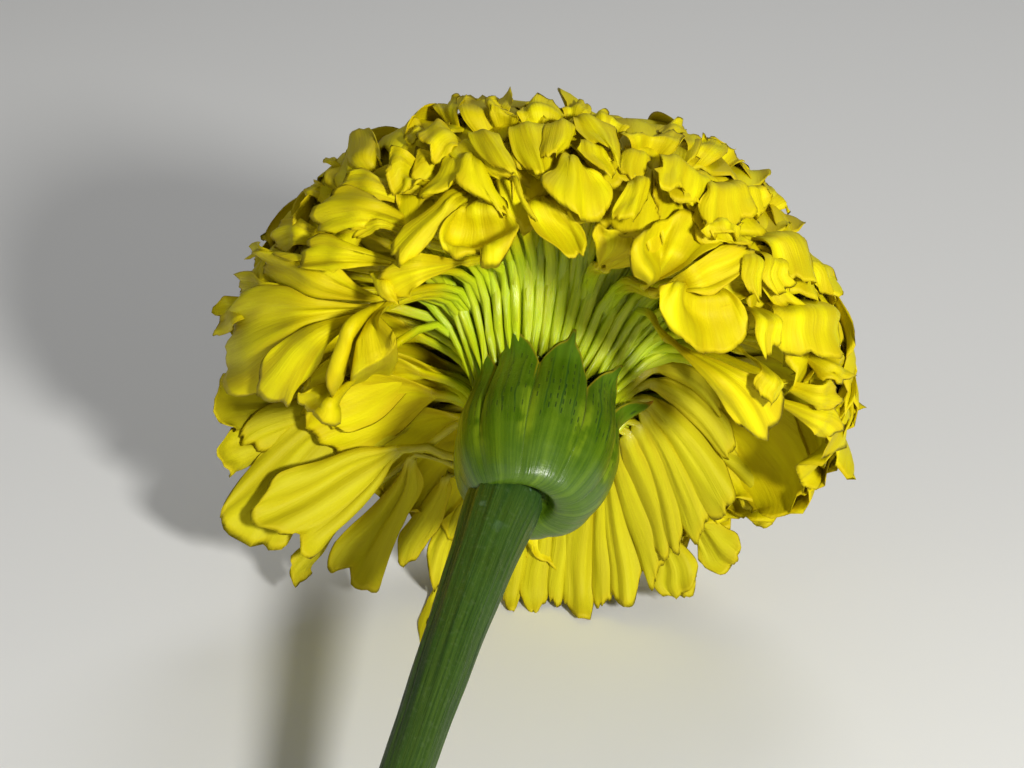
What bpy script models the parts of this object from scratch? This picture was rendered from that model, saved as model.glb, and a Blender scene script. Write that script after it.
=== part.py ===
"""Double marigold picked with a length of its stem, lying on its side. Metres, +Z up.

The origin lies on the surface, under the middle of the flower. +Y runs from the cut end of the stem to the
crown of the bloom. The head has a frame of its own: a point there is given by its turn round the head's
axis, from the top side towards +X, by its radius from that axis, and by its height along it, counted from
the notches between the teeth of the involucre.
"""

import math
import random
from typing import NamedTuple

import bmesh
import bpy
from mathutils import Matrix, Vector

MM = 0.001

# How the flower lies
HEAD_TILT = math.radians(18.0)
HEAD_JOINT = Vector((0.1, 24.7, 30.8)) * MM
STEM_CUT_END = Vector((-9.9, -76.0, 2.3)) * MM
CLEARANCE = 0.35 * MM

MERGE_DISTANCE = 0.00005

# Stem
STEM_BASE_RADIUS = 2.45 * MM
STEM_SWELLING = 2.3 * MM
STEM_SWELLING_REACH = 30 * MM
STEM_NECK = 0.1
STEM_NECK_REACH = 3 * MM
STEM_RIBS = 10
STEM_RIB_DEPTH = 0.05
STEM_STATIONS = 20
STEM_STATION_CROWDING = 1.6
STEM_CROOK = 14 * MM

# Involucre: the cup of fused bracts, from its foot on the stem to the tips of its teeth
CUP_LENGTH = 17 * MM
CUP_WALL = 1.0 * MM
CUP_TEETH = 9
CUP_STEPS_PER_TOOTH = 4
TOOTH_LENGTH = 6.2 * MM
TOOTH_HOLLOWING = 1.3
RIB_DEPTH = 0.5 * MM
CUP_PROFILE = (
    (9.5, 17.0), (10.1, 13.5), (10.5, 9.5), (10.1, 6.0), (8.9, 3.0), (7.0, 1.0), (4.6, 0.0), (0.0, 0.0),
)

# Receptacle: the seat of the florets on the floor of the cup
SEAT_PROFILE = ((0.0, 9.2), (3.4, 8.8), (6.4, 7.6), (8.7, 5.8), (7.8, 3.4), (6.4, 2.1), (4.2, 1.4), (0.0, 1.4))
SEAT_STEPS = 24

# Ray florets: a claw and a blade each, in whorls from the skirt of the bloom to its crown
BLADE_THICKNESS = 0.7 * MM
BLADE_COLUMNS = 4
BLADE_ROWS = 3
BLADE_FOOT_WIDTH = 3.2 * MM
BLADE_WIDEST_AT = 0.8
CLAW_FOOT = (6.0, 4.5)
CLAW_IN_BLADE = 1.6
CLAW_WIDTH = 1.5 * MM
CLAW_THICKNESS = 1.1 * MM
CLAW_ROWS = 2
LOBES = 2.6
LOBE_DEPTH = 0.045
TIP_ROUNDING = 0.22
CORNER_ROUNDING = 0.18
WAVE_HEIGHT = 1.5 * MM
CUPPING = 1.4 * MM
FLAT_WITHIN = 0.25 * MM
TURN_SCATTER = math.radians(3.0)
RADIUS_SCATTER = 0.03
SEED = 7

# Bundle of the florets' feet, domed under the crown and ribbed by the claws where it flares out of the cup
BUNDLE_PROFILE = ((0.0, 25.5), (8.0, 24.0), (14.0, 20.0), (15.6, 16.2), (12.6, 12.4), (9.2, 8.6), (7.7, 6.2))
BUNDLE_FOOT_RADIUS = 7.4
BUNDLE_CLAWS = 30
BUNDLE_CLAW_DEPTH = 1.1 * MM


class Whorl(NamedTuple):
    """One ring of florets, each pair (radius, height) in millimetres. The blades leave their foot towards bend.

    The droop is what the tips on the flower's top side are moved by. It fades to nothing on its lower side.
    """

    count: int
    width: float
    foot: tuple
    bend: tuple
    tip: tuple
    droop: tuple
    claw: bool


WHORLS = (
    Whorl(12, 15.5, (16.5, 11.0), (30.5, 14.5), (41.6, 4.5), (-3.8, -12.0), True),
    Whorl(12, 16.5, (15.5, 13.2), (31.0, 19.0), (42.6, 9.0), (-0.8, -7.5), True),
    Whorl(12, 16.0, (13.5, 15.2), (29.5, 25.0), (40.8, 15.0), (1.0, -3.5), False),
    Whorl(11, 15.0, (13.0, 17.6), (25.5, 29.0), (36.8, 21.2), (0.8, -1.0), False),
    Whorl(10, 14.0, (11.0, 20.0), (20.5, 31.5), (30.2, 26.2), (0.0, 0.0), False),
    Whorl(8, 12.5, (8.0, 21.8), (14.2, 33.0), (22.4, 29.8), (0.0, 0.0), False),
    Whorl(5, 11.0, (4.8, 22.6), (7.6, 33.0), (14.0, 32.4), (0.0, 0.0), False),
    Whorl(3, 8.0, (1.8, 23.0), (2.6, 30.0), (5.6, 33.0), (0.0, 0.0), False),
)

# The floret under the bloom that is folded back along the surface
RESTING = Whorl(1, 14.0, (15.0, 10.5), (52.0, 19.0), (40.0, -6.0), (0.0, 0.0), True)
RESTING_TURN = math.radians(191)

GREEN = (0.13, 0.27, 0.05, 1.0)
STEM_GREEN = (0.10, 0.22, 0.05, 1.0)
PALE_GREEN = (0.45, 0.52, 0.16, 1.0)
YELLOW = (0.85, 0.66, 0.02, 1.0)


def clear_scene():
    for leftover in list(bpy.data.objects):
        bpy.data.objects.remove(leftover, do_unlink=True)


def new_collection(name):
    collection = bpy.data.collections.new(name)
    bpy.context.scene.collection.children.link(collection)
    return collection


def finish_material(name, colour, roughness):
    material = bpy.data.materials.new(name)
    material.use_nodes = True
    shader = material.node_tree.nodes["Principled BSDF"]
    shader.inputs["Base Color"].default_value = colour
    shader.inputs["Roughness"].default_value = roughness
    shader.inputs["Metallic"].default_value = 0.0
    return material


def add_object(name, data, collection, material=None):
    obj = bpy.data.objects.new(name, data)
    collection.objects.link(obj)
    if material:
        data.materials.append(material)
    return obj


def head_frame():
    """Matrix from the head's frame to the flower's: its X is the top side, its Y is +X, its Z is the head's axis."""
    up = Vector((0, -math.sin(HEAD_TILT), math.cos(HEAD_TILT)))
    right = Vector((1, 0, 0))
    axis = Vector((0, math.cos(HEAD_TILT), math.sin(HEAD_TILT)))
    turned = Matrix((up, right, axis)).transposed().to_4x4()
    return Matrix.Translation(HEAD_JOINT + axis * CUP_LENGTH) @ turned


def head_point(turn, radius, height):
    return Vector((radius * math.cos(turn), radius * math.sin(turn), height))


def evaluated_mesh(obj):
    """The object's mesh with its modifiers applied, after which the object is removed."""
    graph = bpy.context.evaluated_depsgraph_get()
    mesh = bpy.data.meshes.new_from_object(obj.evaluated_get(graph))
    bpy.data.objects.remove(obj, do_unlink=True)
    return mesh


def turned_mesh(name, profile, steps, collection):
    """A profile of (radius, height) in millimetres, given from the top down its outer side, turned about Z."""
    outline = bpy.data.meshes.new(name)
    points = [(radius * MM, 0, height * MM) for radius, height in profile]
    outline.from_pydata(points, [(i, i + 1) for i in range(len(points) - 1)], [])
    obj = add_object(name + "_profile", outline, collection)
    screw = obj.modifiers.new("Turn", "SCREW")
    screw.steps = screw.render_steps = steps
    screw.use_merge_vertices = True
    screw.merge_threshold = MERGE_DISTANCE
    return evaluated_mesh(obj)


def face_outwards(mesh):
    shape = bmesh.new()
    shape.from_mesh(mesh)
    bmesh.ops.remove_doubles(shape, verts=shape.verts[:], dist=MERGE_DISTANCE)
    bmesh.ops.recalc_face_normals(shape, faces=shape.faces[:])
    shape.to_mesh(mesh)
    shape.free()


def stem_point(share):
    """A point of the stem's middle line, from the cut end at 0 to the joint at 1, with a crook under the head."""
    axis = Vector((0, math.cos(HEAD_TILT), math.sin(HEAD_TILT)))
    joint = HEAD_JOINT - axis * CLEARANCE
    run = joint - STEM_CUT_END
    controls = (STEM_CUT_END, STEM_CUT_END + run / 3, joint - axis * STEM_CROOK, joint)
    weights = ((1 - share) ** 3, 3 * share * (1 - share) ** 2, 3 * share**2 * (1 - share), share**3)
    return sum((control * weight for control, weight in zip(controls, weights)), Vector())


def stem_radius(below_joint):
    swelling = STEM_SWELLING * math.exp(-below_joint / STEM_SWELLING_REACH)
    neck = 1 - STEM_NECK * math.exp(-((below_joint / STEM_NECK_REACH) ** 2))
    return (STEM_BASE_RADIUS + swelling) * neck


def stem_outline(collection):
    """Ribbed cross-section of unit radius."""
    curve = bpy.data.curves.new("stem_outline", "CURVE")
    curve.dimensions = "2D"
    spline = curve.splines.new("POLY")
    corners = 2 * STEM_RIBS
    spline.points.add(corners - 1)
    for index, point in enumerate(spline.points):
        radius = 1 - (index % 2) * STEM_RIB_DEPTH
        angle = 2 * math.pi * index / corners
        point.co = (radius * math.cos(angle), radius * math.sin(angle), 0, 1)
    spline.use_cyclic_u = True
    outline = add_object("stem_outline", curve, collection)
    outline.hide_render = True
    outline.display_type = "WIRE"
    return outline


def build_peduncle(collection, helpers):
    curve = bpy.data.curves.new("peduncle", "CURVE")
    curve.dimensions = "3D"
    curve.bevel_mode = "OBJECT"
    curve.bevel_object = stem_outline(helpers)
    curve.use_fill_caps = True
    spline = curve.splines.new("POLY")
    spline.points.add(STEM_STATIONS - 1)
    length = (HEAD_JOINT - STEM_CUT_END).length
    for index, point in enumerate(spline.points):
        share = 1 - (1 - index / (STEM_STATIONS - 1)) ** STEM_STATION_CROWDING
        below_joint = (1 - share) * length
        point.co = (*stem_point(share), 1)
        point.radius = stem_radius(below_joint)
    mesh = evaluated_mesh(add_object("peduncle", curve, collection))
    for vertex in mesh.vertices:
        vertex.co.z = max(vertex.co.z, 0.0)
    face_outwards(mesh)
    add_object("peduncle", mesh, collection, finish_material("stem_skin", STEM_GREEN, 0.45))


def tooth_reach(turn):
    """Share of a tooth's length at this turn: 0 in a notch, 1 at a tip, with sides that curve in to the tip."""
    place = (turn / (2 * math.pi) * CUP_TEETH) % 1.0
    return (1 - abs(2 * place - 1)) ** TOOTH_HOLLOWING


def build_involucre(collection, matrix):
    steps = CUP_TEETH * CUP_STEPS_PER_TOOTH
    mesh = turned_mesh("involucre", CUP_PROFILE, steps, collection)
    rim_height = CUP_PROFILE[0][1] * MM
    for vertex in mesh.vertices:
        turn = math.atan2(vertex.co.y, vertex.co.x) % (2 * math.pi)
        rise = min(max(vertex.co.z / rim_height, 0.0), 1.0)
        swell = 1 - RIB_DEPTH / (CUP_PROFILE[0][0] * MM) * rise * (1 - tooth_reach(turn))
        vertex.co.x *= swell
        vertex.co.y *= swell
        if rise > 0.99:
            vertex.co.z += TOOTH_LENGTH * tooth_reach(turn)
        vertex.co.z -= CUP_LENGTH
    mesh.shade_smooth()
    mesh.set_sharp_from_angle(angle=math.radians(40))
    cup = add_object("involucre", mesh, collection, finish_material("bract_green", GREEN, 0.4))
    cup.matrix_world = matrix
    wall = cup.modifiers.new("Wall", "SOLIDIFY")
    wall.thickness = CUP_WALL
    wall.offset = -1


def build_receptacle(collection, matrix):
    mesh = turned_mesh("receptacle", SEAT_PROFILE, SEAT_STEPS, collection)
    mesh.transform(Matrix.Translation((0, 0, -CUP_LENGTH)))
    mesh.shade_smooth()
    seat = add_object("receptacle", mesh, collection, finish_material("pale_pith", PALE_GREEN, 0.6))
    seat.matrix_world = matrix


def curve_point(foot, bend, tip, share):
    """(radius, height) and its direction on the arc that leaves foot towards bend and ends at tip."""
    inverse = 1 - share
    point = [foot[i] * inverse**2 + 2 * bend[i] * share * inverse + tip[i] * share**2 for i in range(2)]
    along = [2 * inverse * (bend[i] - foot[i]) + 2 * share * (tip[i] - bend[i]) for i in range(2)]
    size = math.hypot(*along)
    return point, (along[0] / size, along[1] / size)


def blade_width(width, along):
    spread = math.sin(min(along / BLADE_WIDEST_AT, 1.0) * math.pi / 2) - CORNER_ROUNDING * along**6
    return BLADE_FOOT_WIDTH + (width * MM - BLADE_FOOT_WIDTH) * spread


def surface_object(name, columns, rows, place, thickness, collection):
    """A grid of two triangles a square, whose points place() puts where they belong, thickened about its middle."""
    shape = bmesh.new()
    bmesh.ops.create_grid(shape, x_segments=columns, y_segments=rows, size=1.0)
    for vertex in shape.verts:
        vertex.co = place(vertex.co.x, (vertex.co.y + 1) / 2)
    bmesh.ops.triangulate(shape, faces=shape.faces[:], quad_method="FIXED")
    mesh = bpy.data.meshes.new(name)
    shape.to_mesh(mesh)
    shape.free()
    obj = add_object(name, mesh, collection)
    wall = obj.modifiers.new("Thickness", "SOLIDIFY")
    wall.thickness = thickness
    wall.offset = 0
    mesh = evaluated_mesh(obj)
    for vertex in mesh.vertices:
        if vertex.co.z < FLAT_WITHIN:
            vertex.co.z = 0.0
    face_outwards(mesh)
    return add_object(name, mesh, collection)


def press_on_surface(point):
    """A blade that would reach into the surface lies flat on it."""
    return Vector((point.x, point.y, max(point.z, BLADE_THICKNESS / 2)))


def add_blade(name, whorl, turn, draw, matrix, collection):
    phase = draw.uniform(0, 2 * math.pi)
    reach = 1 + draw.uniform(-RADIUS_SCATTER, RADIUS_SCATTER)
    wave = WAVE_HEIGHT * draw.uniform(0.6, 1.2)
    droop = (1 + math.cos(turn)) / 2
    tip = (whorl.tip[0] * reach + whorl.droop[0] * droop, whorl.tip[1] + whorl.droop[1] * droop)

    def place(across, along):
        outline = 1 - TIP_ROUNDING * across**2 + LOBE_DEPTH * math.cos(LOBES * math.pi * across + phase)
        (radius, height), (outward, upward) = curve_point(whorl.foot, whorl.bend, tip, along * outline)
        lift = wave * along**2 * math.sin(LOBES * math.pi * across + phase) - CUPPING * along * across**2
        point = head_point(turn, radius * MM - upward * lift, height * MM + outward * lift)
        sideways = head_point(turn + math.pi / 2, 1, 0)
        point += sideways * across * blade_width(whorl.width, along) / 2
        return press_on_surface(matrix @ point)

    return surface_object(name, BLADE_COLUMNS, BLADE_ROWS, place, BLADE_THICKNESS, collection)


def add_claw(name, whorl, turn, matrix, collection):
    """The narrow lower part of a floret, from inside the bundle to a little way into its blade."""
    bend = (CLAW_FOOT[0] + 1, whorl.foot[1] - 1.5)
    tip = (whorl.foot[0] + CLAW_IN_BLADE, whorl.foot[1] + CLAW_IN_BLADE / 4)

    def place(across, along):
        (radius, height), _ = curve_point(CLAW_FOOT, bend, tip, along)
        point = head_point(turn, radius * MM, height * MM)
        point += head_point(turn + math.pi / 2, 1, 0) * across * CLAW_WIDTH / 2
        return matrix @ point

    return surface_object(name, 1, CLAW_ROWS, place, CLAW_THICKNESS, collection)


def add_florets(matrix, collection):
    draw = random.Random(SEED)
    for ring, whorl in enumerate(WHORLS):
        for index in range(whorl.count):
            turn = 2 * math.pi * (index + 0.5 * (ring % 2)) / whorl.count
            turn += draw.uniform(-TURN_SCATTER, TURN_SCATTER)
            add_blade(f"blade_{ring}_{index}", whorl, turn, draw, matrix, collection)
            if whorl.claw:
                add_claw(f"claw_{ring}_{index}", whorl, turn, matrix, collection)
    add_blade("resting_blade", RESTING, RESTING_TURN, draw, matrix, collection)
    add_claw("resting_claw", RESTING, RESTING_TURN, matrix, collection)


def drop_scraps(mesh):
    """Keeps only the largest of the mesh's bodies, counted across its edges."""
    shape = bmesh.new()
    shape.from_mesh(mesh)
    left = set(shape.faces)
    bodies = []
    while left:
        body = {left.pop()}
        border = list(body)
        while border:
            near = {face for edge in border.pop().edges for face in edge.link_faces} & left
            left -= near
            body |= near
            border += near
        bodies.append(body)
    bodies.sort(key=len)
    scraps = [face for body in bodies[:-1] for face in body]
    bmesh.ops.delete(shape, geom=scraps, context="FACES")
    shape.to_mesh(mesh)
    shape.free()


def join_all(obj, collection):
    """Fuses every solid of the collection into obj, and removes the collection with what it held."""
    union = obj.modifiers.new("Join", "BOOLEAN")
    union.operation = "UNION"
    union.operand_type = "COLLECTION"
    union.collection = collection
    union.solver = "MANIFOLD"
    graph = bpy.context.evaluated_depsgraph_get()
    joined = bpy.data.meshes.new_from_object(obj.evaluated_get(graph))
    drop_scraps(joined)
    obj.modifiers.clear()
    obj.data = joined
    for piece in list(collection.objects):
        bpy.data.objects.remove(piece, do_unlink=True)
    bpy.data.collections.remove(collection)


def build_ray_florets(collection, matrix):
    rise = (CLEARANCE - CUP_LENGTH) / MM
    foot = [(radius, height + rise) for radius, height in reversed(SEAT_PROFILE[:3])]
    sole = (BUNDLE_FOOT_RADIUS, foot[0][1])
    bundle = turned_mesh("ray_florets", (*BUNDLE_PROFILE, sole, *foot), 2 * BUNDLE_CLAWS, collection)
    spread_radius = BUNDLE_PROFILE[-2][0] * MM
    for vertex in bundle.vertices:
        radius = math.hypot(vertex.co.x, vertex.co.y)
        turn = math.atan2(vertex.co.y, vertex.co.x)
        if radius > spread_radius:
            vertex.co *= 1 + BUNDLE_CLAW_DEPTH / 2 / radius * math.cos(BUNDLE_CLAWS * turn)
    bundle.transform(matrix)
    bloom = add_object("ray_florets", bundle, collection)
    florets = new_collection("florets")
    add_florets(matrix, florets)
    join_all(bloom, florets)
    bloom.data.materials.append(finish_material("petal_yellow", YELLOW, 0.5))


def main():
    clear_scene()
    flower = new_collection("marigold")
    helpers = new_collection("helpers")
    matrix = head_frame()
    build_peduncle(flower, helpers)
    build_involucre(flower, matrix)
    build_receptacle(flower, matrix)
    build_ray_florets(flower, matrix)


main()
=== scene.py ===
"""Picked double marigold on a pale surface: fine florets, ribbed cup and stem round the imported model."""

import math
import random
from typing import NamedTuple

import bpy
import numpy as np
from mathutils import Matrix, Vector

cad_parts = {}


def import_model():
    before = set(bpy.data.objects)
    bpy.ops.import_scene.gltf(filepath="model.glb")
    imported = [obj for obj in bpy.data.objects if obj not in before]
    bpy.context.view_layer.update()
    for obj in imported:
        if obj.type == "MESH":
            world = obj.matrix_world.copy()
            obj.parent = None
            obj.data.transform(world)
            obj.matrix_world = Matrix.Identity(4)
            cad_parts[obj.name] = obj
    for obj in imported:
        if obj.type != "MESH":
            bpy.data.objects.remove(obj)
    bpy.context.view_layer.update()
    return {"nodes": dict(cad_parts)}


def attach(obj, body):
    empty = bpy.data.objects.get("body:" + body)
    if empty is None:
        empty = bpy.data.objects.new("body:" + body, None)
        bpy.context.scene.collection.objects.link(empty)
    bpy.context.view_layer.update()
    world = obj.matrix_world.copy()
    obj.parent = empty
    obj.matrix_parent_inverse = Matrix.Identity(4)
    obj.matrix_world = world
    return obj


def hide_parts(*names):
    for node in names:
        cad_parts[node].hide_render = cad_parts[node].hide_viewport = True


MM = 0.001

# The head's frame, as in the part's source: turn from the top side towards +X, radius and height in millimetres
HEAD_TILT = math.radians(18.0)
HEAD_JOINT = np.array((0.1, 24.7, 30.8))
CUP_LENGTH = 17.0
HEAD_AXIS = np.array((0.0, math.cos(HEAD_TILT), math.sin(HEAD_TILT)))
HEAD_TOP = np.array((0.0, -math.sin(HEAD_TILT), math.cos(HEAD_TILT)))
HEAD_RIGHT = np.array((1.0, 0.0, 0.0))
RIM_CENTRE = HEAD_JOINT + HEAD_AXIS * CUP_LENGTH
STEM_CUT_END = np.array((-9.9, -76.0, 2.3))

SURFACE_GAP = 0.02


def from_head(turn, radius, height):
    """Points in millimetres in the flower's frame, one for each set of turn, radius and height."""
    turn, radius, height = (np.asarray(value, float)[..., None] for value in (turn, radius, height))
    outward = np.cos(turn) * HEAD_TOP + np.sin(turn) * HEAD_RIGHT
    return RIM_CENTRE + radius * outward + height * HEAD_AXIS


def smoothstep(low, high, value):
    share = np.clip((value - low) / (high - low), 0, 1)
    return share * share * (3 - 2 * share)


class Traced(NamedTuple):
    """A floret seen in the photo, as (turn in degrees, radius, height) points: its stalk, then the ribs of its blade."""

    name: str
    ruffle: float
    hanging: bool
    stalk: tuple
    ribs: tuple


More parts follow.
